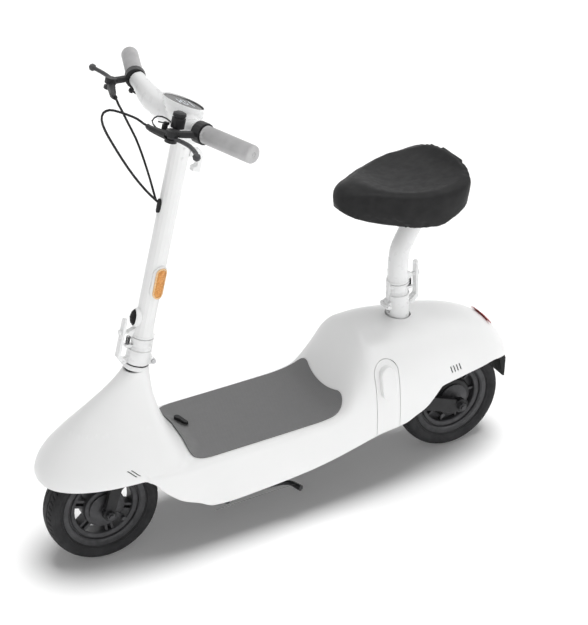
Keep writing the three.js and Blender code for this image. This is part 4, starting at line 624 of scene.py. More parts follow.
def settle_cover(saddle):
    """Lets a cloth cover swell a little under pressure, with its reach held under a cap."""
    rest = coordinates(saddle.data)
    cloth = saddle.modifiers.new("cloth", "CLOTH")
    cloth.settings.use_pressure = True
    cloth.settings.uniform_pressure_force = SADDLE_PRESSURE
    cloth.settings.effector_weights.gravity = 0.0
    scene = bpy.context.scene
    for step in range(1, CLOTH_FRAMES + 1):
        scene.frame_set(step)
    swollen = evaluated_mesh(saddle)
    scene.frame_set(1)
    saddle.modifiers.clear()
    moved = coordinates(swollen) - rest
    reach = np.linalg.norm(moved, axis=1)
    cap = SADDLE_CAP * MM
    limit = cap * np.tanh(reach / cap) / np.maximum(reach, 1e-9)
    saddle.data.vertices.foreach_set("co", (rest + moved * limit[:, None]).ravel())
    saddle.data.update()


def make_saddle():
    even = np.linspace(0, 1, SADDLE_RINGS)
    share = (1 - np.cos(np.pi * even)) / 2
    rows = [row_at(SADDLE_ROWS, 0.5 * s + 0.5 * t) for s, t in zip(share, even)]
    saddle = loft("saddle_cushion", [saddle_ring(row, SADDLE_POINTS) for row in rows])
    remeshed(saddle, SADDLE_VOXEL, 4)
    settle_cover(saddle)
    saddle.data.shade_smooth()
    finer = saddle.modifiers.new("finer", "SUBSURF")
    finer.levels = 1
    finer.render_levels = 1
    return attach(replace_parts(saddle, "saddle"), "seat")


saddle_cushion = make_saddle()

# Tyres: a tread of staggered blocks between two grooves, a shoulder and a stepped sidewall

TYRE_BEAD = [(90.5, -21), (91, 0), (90.5, 21)]
TYRE_FLANK = [
    (93.5, 22.2), (96.5, 23.4), (98, 25.8), (99.2, 25.6), (101, 26.6), (105, 29.3), (109, 30.7),
    (112.5, 30.9), (113.5, 30.2), (114.5, 30.4), (117.5, 29.3), (120.3, 27.1), (122.6, 23.4),
    (124.6, 18.6), (126, 12), (126.8, 5),
]
TYRE_CROWN = [(127, 0)]
TREAD_REPEATS = 60
TREAD_DEPTH = 2.0
TREAD_FROM = 118.0
GROOVE_Y = 8.5
GROOVE_HALF = 1.3
GROOVE_WANDER = 0.96
NOTCH_FROM, NOTCH_TO = 13.0, 24.5
NOTCH_SHARE = 0.16
NOTCH_LEAN = 0.035


def other_side(half):
    """The mirrored rest of a wheel's section, from one side's (radius, y) points."""
    return [(r, -y) for r, y in half[::-1]]


def make_tyre(name, node, axle_x, body):
    section = TYRE_BEAD + TYRE_FLANK + TYRE_CROWN + other_side(TYRE_FLANK)
    profile = smooth_line(section, 200, closed=True)
    turns = 480
    angle = full_turn(turns)
    radius = np.repeat(profile[None, :, 0], turns, 0)
    y = np.repeat(profile[None, :, 1], turns, 0)
    place = angle[:, None] * TREAD_REPEATS / (2 * np.pi)
    wander = GROOVE_WANDER * (np.abs((place * 0.5) % 1 - 0.5) * 4 - 1)
    outside = radius > TREAD_FROM
    groove = np.abs(np.abs(y) - GROOVE_Y - wander) < GROOVE_HALF
    lean = (np.abs(y) - NOTCH_FROM) * NOTCH_LEAN * np.sign(y)
    beside = (np.abs(y) > NOTCH_FROM) & (np.abs(y) < NOTCH_TO)
    notch = beside & (np.abs((place + lean + 0.25) % 1 - 0.5) < NOTCH_SHARE)
    radius = radius - TREAD_DEPTH * (outside & (groove | notch))
    points = np.stack([axle_x + radius * np.cos(angle)[:, None], y,
                       TYRE_RADIUS + radius * np.sin(angle)[:, None]], axis=-1)
    faces = ring_faces(turns, len(profile), closed_rows=True)
    piece = new_object(name, metres(points.reshape(-1, 3)), faces)
    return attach(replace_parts(soften(piece, 40.0), node), body)


tyres = [make_tyre("front_tyre_tread", "front_tyre", AXLE_X, "front_wheel"),
         make_tyre("rear_tyre_tread", "rear_tyre", -AXLE_X, "rear_wheel")]

# Cast rims: a stepped ring, a hub and pairs of ribs in front, a closed web behind

RIM_SIDE = [
    (66, -15), (67.5, -17.4), (75, -19.4), (76.5, -16), (79, -16), (80, -20.6), (82, -22.6),
    (83.5, -24), (92, -24), (94, -23.4), (94, -21.4), (90, -21.4),
]
DRUM_SIDE = [
    (9, -23.4), (15, -23.4), (16, -22), (29, -22), (30.5, -23.6), (41, -23.6), (45, -22),
    (46.5, -19),
]
WEB_SIDE = [(51, -7), (55, -5.5), (68, -3)]
SPOKE_PAIRS = 6
SPOKE_FROM, SPOKE_TO = 43.0, 68.0
SPOKE_SPREAD = 6.5
SPOKE_HALF = 2.2
SPOKE_DEPTH, SPOKE_WEB_DEPTH = 13.5, 3.0
SPOKE_TURN = math.radians(22.0)
REAR_RIBS, REAR_RIB_FROM, REAR_RIB_DEPTH = 10, 52.0, 11.0
WHEEL_SIDES = 144


def turned_about_axle(name, side, axle_x):
    """A ring about an axle, from one side of its section."""
    angle = full_turn(WHEEL_SIDES)
    points = [np.column_stack([axle_x + r * np.cos(angle), np.full(WHEEL_SIDES, y),
                               TYRE_RADIUS + r * np.sin(angle)]) for r, y in side + other_side(side)]
    faces = ring_faces(len(points), WHEEL_SIDES, closed_rows=True)
    return new_object(name, metres(np.concatenate(points)), faces)


def radial_bar(axle_x, turn, start, across, half, depth):
    """A bar from a radius to the rim, beside the line from the axle by a distance across."""
    way = np.array((math.cos(turn), math.sin(turn)))
    side = np.array((-way[1], way[0]))
    centre = np.array((axle_x, TYRE_RADIUS))
    low, high = across - half * 1.3, across + half * 1.3
    outline = [centre + way * r + side * w
               for r, w in ((start, low), (SPOKE_TO, low), (SPOKE_TO, high), (start, high))]
    return side_prism("bar", outline, -depth, depth)


def make_front_rim():
    rim = turned_about_axle("front_rim_casting", RIM_SIDE, AXLE_X)
    bars = []
    for pair in range(SPOKE_PAIRS):
        turn = SPOKE_TURN + 2 * math.pi * pair / SPOKE_PAIRS
        for across in (-SPOKE_SPREAD, SPOKE_SPREAD):
            bars.append(radial_bar(AXLE_X, turn, SPOKE_FROM, across, SPOKE_HALF, SPOKE_DEPTH))
        bars.append(radial_bar(AXLE_X, turn, SPOKE_FROM, 0.0, SPOKE_SPREAD * 0.8, SPOKE_WEB_DEPTH))
    combined(rim, "UNION", turned_about_axle("drum", DRUM_SIDE, AXLE_X), *bars)
    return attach(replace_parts(soften(rim, 30.0), "front_rim"), "front_wheel")


def make_rear_rim():
    rim = turned_about_axle("rear_rim_casting", RIM_SIDE, -AXLE_X)
    turns = [2 * math.pi * k / REAR_RIBS for k in range(REAR_RIBS)]
    bars = [radial_bar(-AXLE_X, turn, REAR_RIB_FROM, 0.0, SPOKE_HALF, REAR_RIB_DEPTH) for turn in turns]
    combined(rim, "UNION", turned_about_axle("web", WEB_SIDE, -AXLE_X), *bars)
    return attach(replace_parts(soften(rim, 30.0), "rear_rim"), "rear_wheel")


rims = [make_front_rim(), make_rear_rim()]

# Handlebar casting, blended where the wings, the display's cup and the stem's socket meet

BAR_HEIGHT = 902.0
BAR_DROP = 33.0
BAR_CENTRE_X = 8.0
BAR_END_X, BAR_END_Y = 49.0, 150.0
BAR_END_DROP = 3.0
BAR_ROOT = 27.0
BAR_VOXEL = 1.8
SOCKET_LOW, SOCKET_RADIUS = 836.0, 24.0
POD_X, POD_TILT, POD_LEAN = 13.0, math.radians(11.0), 0.42
POD_RADIUS, POD_DEPTH, POD_LIP = 44.4, 46.0, 3.0
POD_BELLY, POD_BELLY_DEPTH, POD_WAIST = 39.0, 27.0, 28.0
LENS_RADIUS, LENS_RECESS = 42.2, 2.4
GRIP_WAY = np.array((-0.316, 1.0, 0.062)) / np.linalg.norm((-0.316, 1.0, 0.062))
GRIP_FROM = np.array((BAR_END_X, BAR_END_Y, BAR_HEIGHT - BAR_END_DROP))
WING = [(0, 0, 0, 1.0), (0.4, 0.33, 0.06, 0.93), (0.667, 0.66, 0.33, 0.87), (0.9, 0.86, 0.76, 0.66),
        (1.02, 0.92, 0.94, 0.66)]  # shares of the reach outward, forward and up, and of the radius
SOCKET_PROFILE = [(SOCKET_RADIUS, SOCKET_LOW), (SOCKET_RADIUS, BAR_HEIGHT - BAR_DROP)]
CUP_PROFILE = [(POD_WAIST, -POD_DEPTH), (POD_BELLY, -POD_BELLY_DEPTH), (POD_RADIUS - 0.6, -9),
               (POD_RADIUS - 0.6, -7)]
LIP_PROFILE = [
    (POD_RADIUS - 6, -12), (POD_RADIUS - 0.3, -10), (POD_RADIUS, -6), (POD_RADIUS, -0.8),
    (POD_RADIUS - 0.8, 0), (LENS_RADIUS + 0.7, 0), (LENS_RADIUS + 0.1, -0.6), (LENS_RADIUS + 0.1, -4.5),
    (0.5, -4.5),
]


def from_steering(points):
    """Points drawn about the steering axis as points between the axles, in millimetres."""
    points = np.asarray(points, float)
    x, y, z = points[..., 0], points[..., 1], points[..., 2]
    cos, sin = math.cos(RAKE), math.sin(RAKE)
    return np.stack([STEER_X + x * cos - z * sin, y, STEER_Z + x * sin + z * cos], axis=-1)


def from_pod(points):
    """Points about the display's middle as points about the steering axis."""
    points = np.asarray(points, float)
    x, y, z = points[..., 0] + POD_LEAN * points[..., 2], points[..., 1], points[..., 2]
    cos, sin = math.cos(POD_TILT), math.sin(POD_TILT)
    height = BAR_HEIGHT + 2 * POD_LIP + x * sin + z * cos
    return np.stack([POD_X + x * cos - z * sin, y, height], axis=-1)


def turned_rings(profile, sides):
    angle = full_turn(sides)
    circle = np.column_stack([np.cos(angle), np.sin(angle), np.zeros(sides)])
    return [r * circle + (0, 0, z) for r, z in profile]


def circle_in(side, up, sides):
    """A circle's points in the plane of two directions."""
    angle = full_turn(sides)
    return np.cos(angle)[:, None] * side + np.sin(angle)[:, None] * up


def on_steering(name, rings):
    return loft(name, [from_steering(ring) for ring in rings])


def tube_rings(route, radii, sides):
    """Rings square to a route, without twist."""
    route = np.asarray(route, float)
    ahead = np.gradient(route, axis=0)
    ahead /= np.linalg.norm(ahead, axis=1)[:, None]
    side = np.cross(ahead[0], (0, 0, 1.0))
    rings = []
    for centre, way, radius in zip(route, ahead, radii):
        side = side - way * (side @ way)
        side /= np.linalg.norm(side)
        up = np.cross(way, side)
        rings.append(centre + radius * circle_in(side, up, sides))
    return rings


def cut_beyond(piece, point, way):
    """Takes off what lies beyond a plane, and closes the cut."""
    shape = bmesh.new()
    shape.from_mesh(piece.data)
    geometry = shape.verts[:] + shape.edges[:] + shape.faces[:]
    cut = bmesh.ops.bisect_plane(shape, geom=geometry, plane_co=point, plane_no=way, clear_outer=True)
    edges = [e for e in cut["geom_cut"] if isinstance(e, bmesh.types.BMEdge)]
    bmesh.ops.holes_fill(shape, edges=edges)
    shape.to_mesh(piece.data)
    shape.free()
    return piece


def make_handlebar():
    half = [(BAR_CENTRE_X + (BAR_END_X - BAR_CENTRE_X) * x, y * BAR_END_Y,
             BAR_HEIGHT - BAR_DROP + BAR_DROP * z, BAR_ROOT * r) for y, x, z, r in WING]
    route = smooth_line([(x, -y, z, r) for x, y, z, r in half[::-1]] + half[1:], 120)
    wing = on_steering("wing", tube_rings(route[:, :3], route[:, 3], 48))
    cup = on_steering("cup", [from_pod(ring) for ring in turned_rings(CUP_PROFILE, 64)])
    casting = combined(wing, "UNION", cup, on_steering("socket", turned_rings(SOCKET_PROFILE, 48)))
    remeshed(casting, BAR_VOXEL, 7)
    for turn in (1, -1):
        point = from_steering((GRIP_FROM - GRIP_WAY * 0.4) * (1, turn, 1))
        way = from_steering(GRIP_WAY * (1, turn, 1)) - from_steering((0, 0, 0))
        cut_beyond(casting, metres(point), way)
    lip = on_steering("lip", [from_pod(ring) for ring in turned_rings(LIP_PROFILE, 96)])
    whole = joined("handlebar_casting", [casting, lip])
    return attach(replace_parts(soften(whole, 50.0), "handlebar"), "bar")


handlebar = make_handlebar()

# Grips, and the two-part reflectors on the stem

GRIP_EDGE_REACH = 4.4  # how far the slanted end disc reaches past its own middle
GRIP_LENGTH = (295.46 - GRIP_EDGE_REACH - BAR_END_Y) / GRIP_WAY[1]
GRIP_PROFILE = [
    (11.6, 60.0), (11.6, 20.8), (17.0, 20.8), (17.8, 21.8), (17.8, 23.4), (17.2, 24.2), (17.8, 25.0),
    (17.8, 26.6), (17.2, 27.4), (17.8, 28.2),
    (17.8, GRIP_LENGTH - 5), (17.3, GRIP_LENGTH - 2.4), (16.2, GRIP_LENGTH - 0.9),
    (14.6, GRIP_LENGTH - 0.2), (5.4, GRIP_LENGTH), (5.0, GRIP_LENGTH - 0.9), (2.4, GRIP_LENGTH - 0.9),
    (1.9, GRIP_LENGTH - 0.2), (0.2, GRIP_LENGTH - 0.1),
]


def make_grip(name, node, turn):
    side = np.cross(GRIP_WAY, (0, 0, 1.0))
    side /= np.linalg.norm(side)
    up = np.cross(side, GRIP_WAY)
    circle = circle_in(side, up, 64)
    rings = [(GRIP_FROM + GRIP_WAY * along + r * circle) * (1, turn, 1) for r, along in GRIP_PROFILE]
    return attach(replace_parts(soften(on_steering(name, rings), 40.0), node), "bar")


grips = [make_grip("grip_left_rubber", "grip_left", 1), make_grip("grip_right_rubber", "grip_right", -1)]

REFLECTOR_X, REFLECTOR_Z = -4.5, 526.0
REFLECTOR_INNER = 24.6
REFLECTOR_HALF, REFLECTOR_LENGTH = 13.0, 34.0
BORDER_RINGS = [(3.6, 0.4), (3.4, 1.6), (2.6, 2.3), (0.9, 2.3), (0.0, 1.5), (0.0, 0.0), (3.6, 0.0)]
CORE_RINGS = [(3.9, 0.0), (3.9, 1.3), (4.6, 1.7), (7.2, 1.7), (8.0, 2.2), (11.5, 2.2)]


def reflector_ring(shrink, rise, turn):
    outline = np.array(capsule(REFLECTOR_HALF - shrink, REFLECTOR_LENGTH - shrink, 12))
    x = REFLECTOR_X + outline[:, 0]
    radius = REFLECTOR_INNER + rise
    ring = np.column_stack([x, turn * np.sqrt(radius ** 2 - x ** 2), REFLECTOR_Z + outline[:, 1]])
    return from_steering(ring)


def make_reflectors():
    borders, cores = [], []
    for side, turn in (("left", 1), ("right", -1)):
        rings = [reflector_ring(shrink, rise, turn) for shrink, rise in BORDER_RINGS]
        count = len(rings[0])
        border = new_object(f"reflector_{side}_border", metres(np.concatenate(rings)),
                            ring_faces(len(rings), count, closed_rows=True))
        core = loft(f"reflector_{side}_core",
                    [reflector_ring(shrink, rise, turn) for shrink, rise in CORE_RINGS])
        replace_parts(soften(core, 35.0), f"reflector_{side}")
        for piece in (soften(border, 35.0), core):
            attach(piece, "bar")
        borders.append(border)
        cores.append(core)
    return borders, cores


reflector_borders, reflector_cores = make_reflectors()

# Rings at the two fold seams and at the neck, a grey ring in each fold seam as painted shade, and a
# smooth sleeve on the seat post

SEAT_SEAM = 462.0
SHOULDER_DROP = 32.0
RING_SECTION = [(23.4, 0.0), (24.4, 0.0), (24.9, 0.6), (24.9, 4.6), (24.4, 5.2), (23.4, 5.2)]
SHOULDER_SECTION = [(24.6, 0.0), (25.9, 0.0), (26.4, 0.7), (26.4, 3.4), (25.9, 4.2), (24.6, 4.2)]
# A thin grey ring inside each fold seam: painted shade for the shadow line in the seam
SEAM_SHADE_SECTION = [(23.4, -0.9), (24.75, -0.9), (24.75, 0.1), (23.4, 0.1)]
NECK_SECTION = [(25.2, 0.0), (26.6, 0.0), (26.9, 0.5), (26.9, 9.0), (26.3, 9.8), (25.2, 9.8)]
SKIRT_INNER, SKIRT_RADIUS = 24.8, 25.75
NECK_RING_LOW = 326.0
UPPER_RING_RISE, LOWER_RING_DROP = 0.8, 6.2
STEM_SKIRT_LOW, SEAT_SKIRT_LOW = -59.4, -89.0
HINGE_GAP = math.radians(23.0)
POST_RADIUS = 22.25
POST_ROUTE = [(0, 0, 16), (0, 0, 28), (6, 0, 75), (27, 0, 115), (48, 0, 147), (60, 0, 168),
              (67.4, 0, 181)]


def from_seat(points):
    """Points about the seat post's seam, which is turned about, as points between the axles."""
    points = np.asarray(points, float)
    return points * (-1, -1, 1) + (SEAT_POST_X, 0, SEAT_SEAM)


def ring_arc(name, section, height, place, leave=0.0, steps=96):
    """A ring, open where the hinge's arm comes down, from a section of (radius, height)."""
    turns = np.linspace(-math.pi + leave, math.pi - leave, steps + 1)
    rings = [place([(r * math.cos(turn), r * math.sin(turn), height + z) for r, z in section])
             for turn in turns]
    if leave:
        return soften(loft(name, rings), 40.0)
    vertices = metres(np.concatenate(rings[:-1]))
    return soften(new_object(name, vertices, ring_faces(steps, len(section), closed_rows=True)), 40.0)


FOLDS = [("stem", SEAM_HEIGHT, from_steering, "steer", "bar", STEM_SKIRT_LOW),
         ("seat", 0.0, from_seat, "root", "seat", SEAT_SKIRT_LOW)]


def make_rings():
    rings, shade_rings = [], []
    for name, seam, place, low, high, bottom in FOLDS:
        skirt = [(SKIRT_INNER, bottom), (SKIRT_RADIUS - 0.6, bottom), (SKIRT_RADIUS, bottom + 0.8),
                 (SKIRT_RADIUS, -SHOULDER_DROP), (SKIRT_INNER, -SHOULDER_DROP)]
        upper = ring_arc(f"{name}_upper_ring", RING_SECTION, seam + UPPER_RING_RISE, place)
        rings.append(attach(upper, high))
        # The grey arcs at each seam paint the shade in that fold seam
        for part, section, drop in (("lower_ring", RING_SECTION, LOWER_RING_DROP),
                                    ("shoulder_ring", SHOULDER_SECTION, SHOULDER_DROP),
                                    ("base_skirt", skirt, 0.0), ("seam_shade", SEAM_SHADE_SECTION, 0.0)):
            arc = ring_arc(f"{name}_{part}", section, seam - drop, place, HINGE_GAP)
            group = shade_rings if part == "seam_shade" else rings
            group.append(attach(arc, low))
    neck = ring_arc("neck_ring", NECK_SECTION, NECK_RING_LOW, from_steering)
    return rings + [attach(neck, "root")], shade_rings


def make_seat_sleeve():
    route = smooth_line(POST_ROUTE, 60)
    sleeve = loft("seat_post_sleeve", [from_seat(ring) for ring in tube_rings(
        route, np.full(len(route), POST_RADIUS), 56)])
    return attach(soften(sleeve), "seat")


fold_rings, seam_shade_rings = make_rings()
seat_sleeve = make_seat_sleeve()

# Display marks: a number and a charge bar, drawn as thin raised strokes on the lens

DIGIT_STROKES = {
    "top": ((0, 2), (1, 2)), "middle": ((0, 1), (1, 1)), "bottom": ((0, 0), (1, 0)),
    "upper_left": ((0, 1), (0, 2)), "upper_right": ((1, 1), (1, 2)),
    "lower_left": ((0, 0), (0, 1)), "lower_right": ((1, 0), (1, 1)),
}
DIGIT_PARTS = {
    "2": ("top", "upper_right", "middle", "lower_left", "bottom"),
    "5": ("top", "upper_left", "middle", "lower_right", "bottom"),
}
DIGIT_WIDTH, DIGIT_HALF_HEIGHT, DIGIT_STROKE = 9.0, 9.0, 1.6
DIGITS_LOW, DIGITS_LEFT, DIGIT_STEP = -6.0, 11.0, 13.5
CHARGE_ROW, CHARGE_LEFT, CHARGE_STEP, CHARGE_LENGTH, CHARGE_WIDTH = -19.0, 12.0, 6.0, 4.6, 2.4
MARK_RISE = 0.12


def stroke_block(start, end, width):
    """A thin raised bar between two points of the lens, given as (forward, leftward)."""
    start, end = np.array(start, float), np.array(end, float)
    way = (end - start) / np.linalg.norm(end - start)
    side = np.array((-way[1], way[0])) * width / 2
    start, end = start + way * width * 0.35, end - way * width * 0.35
    outline = [start - way * width / 2, start + side, end + side, end + way * width / 2, end - side,
               start - side]
    rings = []
    for z in (0.02, MARK_RISE):
        ring = np.column_stack([np.array(outline), np.full(len(outline), z - LENS_RECESS)])
        rings.append(from_steering(from_pod(ring)))
    return loft("stroke", rings)


def make_display_marks():
    strokes = []
    for place, digit in enumerate("25"):
        left = DIGITS_LEFT - DIGIT_STEP * place
        for name in DIGIT_PARTS[digit]:
            ends = [(DIGITS_LOW + y * DIGIT_HALF_HEIGHT, left - x * DIGIT_WIDTH)
                    for x, y in DIGIT_STROKES[name]]
            strokes.append(stroke_block(*ends, DIGIT_STROKE))
    for bar in range(5):
        across = CHARGE_LEFT - CHARGE_STEP * bar
        ends = [(CHARGE_ROW, across), (CHARGE_ROW, across - CHARGE_LENGTH)]
        strokes.append(stroke_block(*ends, CHARGE_WIDTH))
    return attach(joined("display_marks", strokes), "bar")


display_marks = make_display_marks()

# Materials: every colour, gloss and relief comes from nodes, in the object's own coordinates


def set_numbers(node, numbers):
    for key, number in numbers.items():
        node.inputs[key].default_value = number
    return node


def add_node(tree, kind, numbers):
    """A shader node with the given numbers on its inputs."""
    return set_numbers(tree.nodes.new(kind), numbers)


def mapped(tree, value, from_low, from_high, low, high):
    """A node that carries one range of a value over to another."""
    span = add_node(tree, "ShaderNodeMapRange", {
        "From Min": from_low, "From Max": from_high, "To Min": low, "To Max": high})
    tree.links.new(value, span.inputs["Value"])
    return span


class Finish:
    """A procedural material, built up from noise, ribs and grain in millimetres."""

    def __init__(self, name, roughness, metallic=0.0, coat=0.0, edge=0.0, shine=0.5, glow=0.0):
        self.material = bpy.data.materials.new(name)
        self.material.use_nodes = True
        self.tree = self.material.node_tree
        self.shader = set_numbers(self.tree.nodes["Principled BSDF"], {
            "Roughness": roughness, "Metallic": metallic, "Coat Weight": coat,
            "Coat Roughness": COAT_ROUGHNESS, "Specular IOR Level": shine})
        self.place = self.tree.nodes.new("ShaderNodeTexCoord").outputs["Object"]
        self.normal = None
        if edge:
            bevel = add_node(self.tree, "ShaderNodeBevel", {"Radius": edge * MM})
            bevel.samples = 4
            self.bend(bevel)
        if glow:
            set_numbers(self.shader, {"Emission Color": GLOW_COLOUR, "Emission Strength": glow})

    def link(self, value, node, key):
        self.tree.links.new(value, node.inputs[key])

    def bend(self, node):
        """Lets a node's normal be the surface's normal."""
        self.normal = node.outputs["Normal"]
        self.link(self.normal, self.shader, "Normal")

    def noise(self, size, detail, stretch=None):
        """Noise whose patches are about the given size in millimetres."""
        node = add_node(self.tree, "ShaderNodeTexNoise", {"Scale": 1 / (size * MM), "Detail": detail})
        place = self.place
        if stretch:
            mapping = add_node(self.tree, "ShaderNodeMapping", {"Scale": stretch})
            self.link(place, mapping, "Vector")
            place = mapping.outputs["Vector"]
        self.link(place, node, "Vector")
        return node.outputs["Fac"]

    def cells(self, size):
        node = add_node(self.tree, "ShaderNodeTexVoronoi", {"Scale": 1 / (size * MM)})
        self.link(self.place, node, "Vector")
        return node.outputs["Distance"]

    def ribs(self, pitch):
        """Ribs that follow each other along Y."""
        node = add_node(self.tree, "ShaderNodeTexWave", {"Scale": math.pi / 10 / (pitch * MM)})
        node.bands_direction = "Y"
        self.link(self.place, node, "Vector")
        return node.outputs["Fac"]

    def pattern(self, kind, *sizes):
        return {"noise": self.noise, "cells": self.cells, "ribs": self.ribs}[kind](*sizes)

    def colour(self, factor, dark, light, low=0.3, high=0.7):
        ramp = self.tree.nodes.new("ShaderNodeValToRGB")
        for stop, place, tone in zip(ramp.color_ramp.elements, (low, high), (dark, light)):
            stop.position = place
            stop.color = (*tone, 1)
        self.link(factor, ramp, "Fac")
        self.link(ramp.outputs["Color"], self.shader, "Base Color")

    def gloss(self, factor, low, high):
        span = mapped(self.tree, factor, 0.3, 0.7, low, high)
        self.link(span.outputs["Result"], self.shader, "Roughness")

    def relief(self, height, depth, strength=1.0):
        bump = add_node(self.tree, "ShaderNodeBump", {"Strength": strength, "Distance": depth * MM})
        self.link(height, bump, "Height")
        if self.normal:
            self.link(self.normal, bump, "Normal")
        self.bend(bump)


def grey(value, tint=0.0):
    return (value, value, value * (1 + tint))


COAT_ROUGHNESS = 0.12
GLOW_COLOUR = (0.75, 0.85, 0.95, 1)
# Name, roughness, other settings, then a pattern with its tones, one with its gloss, and reliefs.
# A pattern is noise with size, detail and stretch, or cells with a size, or ribs with a pitch.
FINISHES = {
    "white": ("moulded_white", 0.32, {"coat": 0.12, "edge": 1.1},
        (("noise", 160, 3), (0.845, 0.848, 0.845), (0.872, 0.874, 0.872)),
        (("noise", 30, 3), 0.28, 0.36), [(("noise", 1.6, 1), 0.012)]),
    "white_metal": ("painted_white", 0.3, {"coat": 0.2, "edge": 0.9},
        (("noise", 70, 3), (0.83, 0.835, 0.835), (0.865, 0.868, 0.868)),
        (("noise", 18, 3), 0.25, 0.34), [(("noise", 1.3, 1), 0.01)]),
    # The mat's colour follows its ribs and is darker in the grooves: painted shade
    "mat": ("ribbed_mat", 0.72, {"shine": 0.2},
        (("ribs", 4.0), grey(0.18), grey(0.225, 0.01), 0.1, 0.6),
        (("noise", 12, 4), 0.62, 0.78), [(("ribs", 4.0), 0.35, 0.7), (("noise", 0.9, 2), 0.03)]),
    "tyre": ("tyre_rubber", 0.7, {"shine": 0.2},
        (("noise", 40, 5), grey(0.019, 0.05), grey(0.034, 0.05)),
        (("noise", 9, 4), 0.55, 0.76), [(("noise", 0.8, 2), 0.04)]),
    "rubber": ("soft_rubber", 0.62, {"edge": 0.5, "shine": 0.2},
        (("noise", 20, 4), grey(0.010, 0.05), grey(0.018, 0.05)),
        (("noise", 6, 3), 0.5, 0.68), [(("noise", 0.7, 2), 0.02)]),
    "charcoal": ("cast_charcoal", 0.4, {"metallic": 0.3, "edge": 0.8, "shine": 0.4},
        (("noise", 14, 5), grey(0.042, 0.06), grey(0.068, 0.05)),
        (("noise", 4, 4), 0.36, 0.52), [(("noise", 0.7, 2), 0.05)]),
    "dark_metal": ("frame_black", 0.4, {"edge": 0.8, "shine": 0.3},
        (("noise", 18, 5), grey(0.010, 0.08), grey(0.018, 0.07)),
        (("noise", 6, 4), 0.34, 0.5), [(("noise", 0.6, 2), 0.02)]),
    "black_plastic": ("textured_black", 0.5, {"edge": 0.7, "shine": 0.25},
        (("noise", 16, 4), grey(0.012, 0.06), grey(0.02, 0.06)),
        (("noise", 5, 3), 0.42, 0.58), [(("cells", 0.6), 0.04, 0.6)]),
    "grip": ("grip_grey", 0.7, {"edge": 0.6, "shine": 0.2},
        (("noise", 24, 4), (0.46, 0.457, 0.46), (0.53, 0.526, 0.53)),
        (("noise", 5, 3), 0.6, 0.78), [(("cells", 1.1), 0.12, 0.8)]),
    "steel": ("brushed_steel", 0.34, {"metallic": 1.0, "edge": 0.5},
        (("noise", 5, 4, (1, 8, 1)), grey(0.42, 0.02), grey(0.6, 0.02)),
        (("noise", 2, 3, (1, 12, 1)), 0.24, 0.42), [(("noise", 1.2, 2, (1, 20, 1)), 0.01)]),
    "amber": ("amber_reflector", 0.16, {"coat": 0.7},
        (("cells", 3.0), (0.86, 0.40, 0.075), (0.60, 0.215, 0.018), 0.1, 0.75),
        None, [(("cells", 3.0), 0.7)]),
    "pale_amber": ("pale_amber", 0.2, {"coat": 0.6},
        (("cells", 2.2), (0.95, 0.72, 0.42), (0.80, 0.44, 0.16), 0.1, 0.7),
        None, [(("cells", 2.2), 0.5)]),
    "tail_red": ("red_lamp", 0.18, {"coat": 0.8},
        (("ribs", 3.4), (0.42, 0.012, 0.02), (0.74, 0.06, 0.07), 0.2, 0.8),
        None, [(("ribs", 3.4), 0.5)]),
    "display": ("black_glass", 0.1, {"shine": 0.12},
        (("noise", 30, 2), grey(0.003), grey(0.006)), (("noise", 10, 3), 0.05, 0.11), []),
    "lens": ("smoked_lens", 0.15, {"shine": 0.2},
        (("ribs", 2.6), grey(0.004), grey(0.012), 0.2, 0.9), None, [(("ribs", 2.6), 0.25)]),
    "marks": ("lit_marks", 0.5, {"glow": 0.35},
        (("noise", 3, 2), (0.62, 0.66, 0.7), (0.78, 0.8, 0.82)), None, []),
    "saddle": ("saddle_leather", 0.5, {"shine": 0.12},
        (("noise", 30, 5), grey(0.018, 0.03), grey(0.026, 0.02)),
        (("noise", 14, 4), 0.44, 0.58), [(("cells", 1.5), 0.16, 0.7), (("noise", 0.5, 3), 0.03)]),
}


def make_finish(name, roughness, settings, tones, shine, reliefs):
    finish = Finish(name, roughness, **settings)
    pattern, *colours = tones
    finish.colour(finish.pattern(*pattern), *colours)
    if shine:
        pattern, low, high = shine
        finish.gloss(finish.pattern(*pattern), low, high)
    for pattern, *depth in reliefs:
        finish.relief(finish.pattern(*pattern), *depth)
    return finish.material


finishes = {key: make_finish(*entry) for key, entry in FINISHES.items()}
FINISH_OF = {
    "white": ["reflector_bezels", "stem"],
    "white_metal": ["stem_fold_base", "stem_latch_lever", "bag_hook", "seat_post", "seat_fold_base",
                    "seat_latch_lever"],
    "rubber": ["port_cover", "mud_flap", "cable_grommet", "brake_cable_left", "brake_cable_right",
               "display_wire"],
    "charcoal": ["front_brake", "rear_brake", "brake_lever_left", "brake_lever_right",
                 "rear_axle", "front_axle"],
    "dark_metal": ["fork", "main_frame", "hub_motor", "brake_perch_left", "brake_perch_right",
                   "throttle_paddle", "kickstand", "kickstand_bracket", "bell", "bell_striker",
                   "motor_controller"],
    "black_plastic": ["belly_pan", "front_wheel_liner", "rear_wheel_liner", "stem_latch_spring",
                      "seat_latch_spring", "saddle_base", "battery_pack"],
    "steel": ["head_bearing_lower", "head_bearing_upper", "stem_hinge_bolt"],
    "display": ["display_lens"],
    "lens": ["headlight"],
}
PIECE_SLOTS = [
    (list(body_pieces.values()), "white"), ([body_pieces["deck_mat"]], "mat"),
    ([body_pieces["tail_lamp"]], "tail_red"), (tyres, "tyre"), ([saddle_cushion], "saddle"),
    ([handlebar, seat_sleeve] + fold_rings, "white_metal"), (rims, "charcoal"),
    # The grey seam rings are painted shade in the fold seams
    (grips + seam_shade_rings, "grip"), (reflector_cores, "amber"), ([vent_inserts], "black_plastic"),
]
SMOOTH_DEGREES = 34.0


def dress(piece, finish):
    piece.data.materials.clear()
    piece.data.materials.append(finishes[finish])


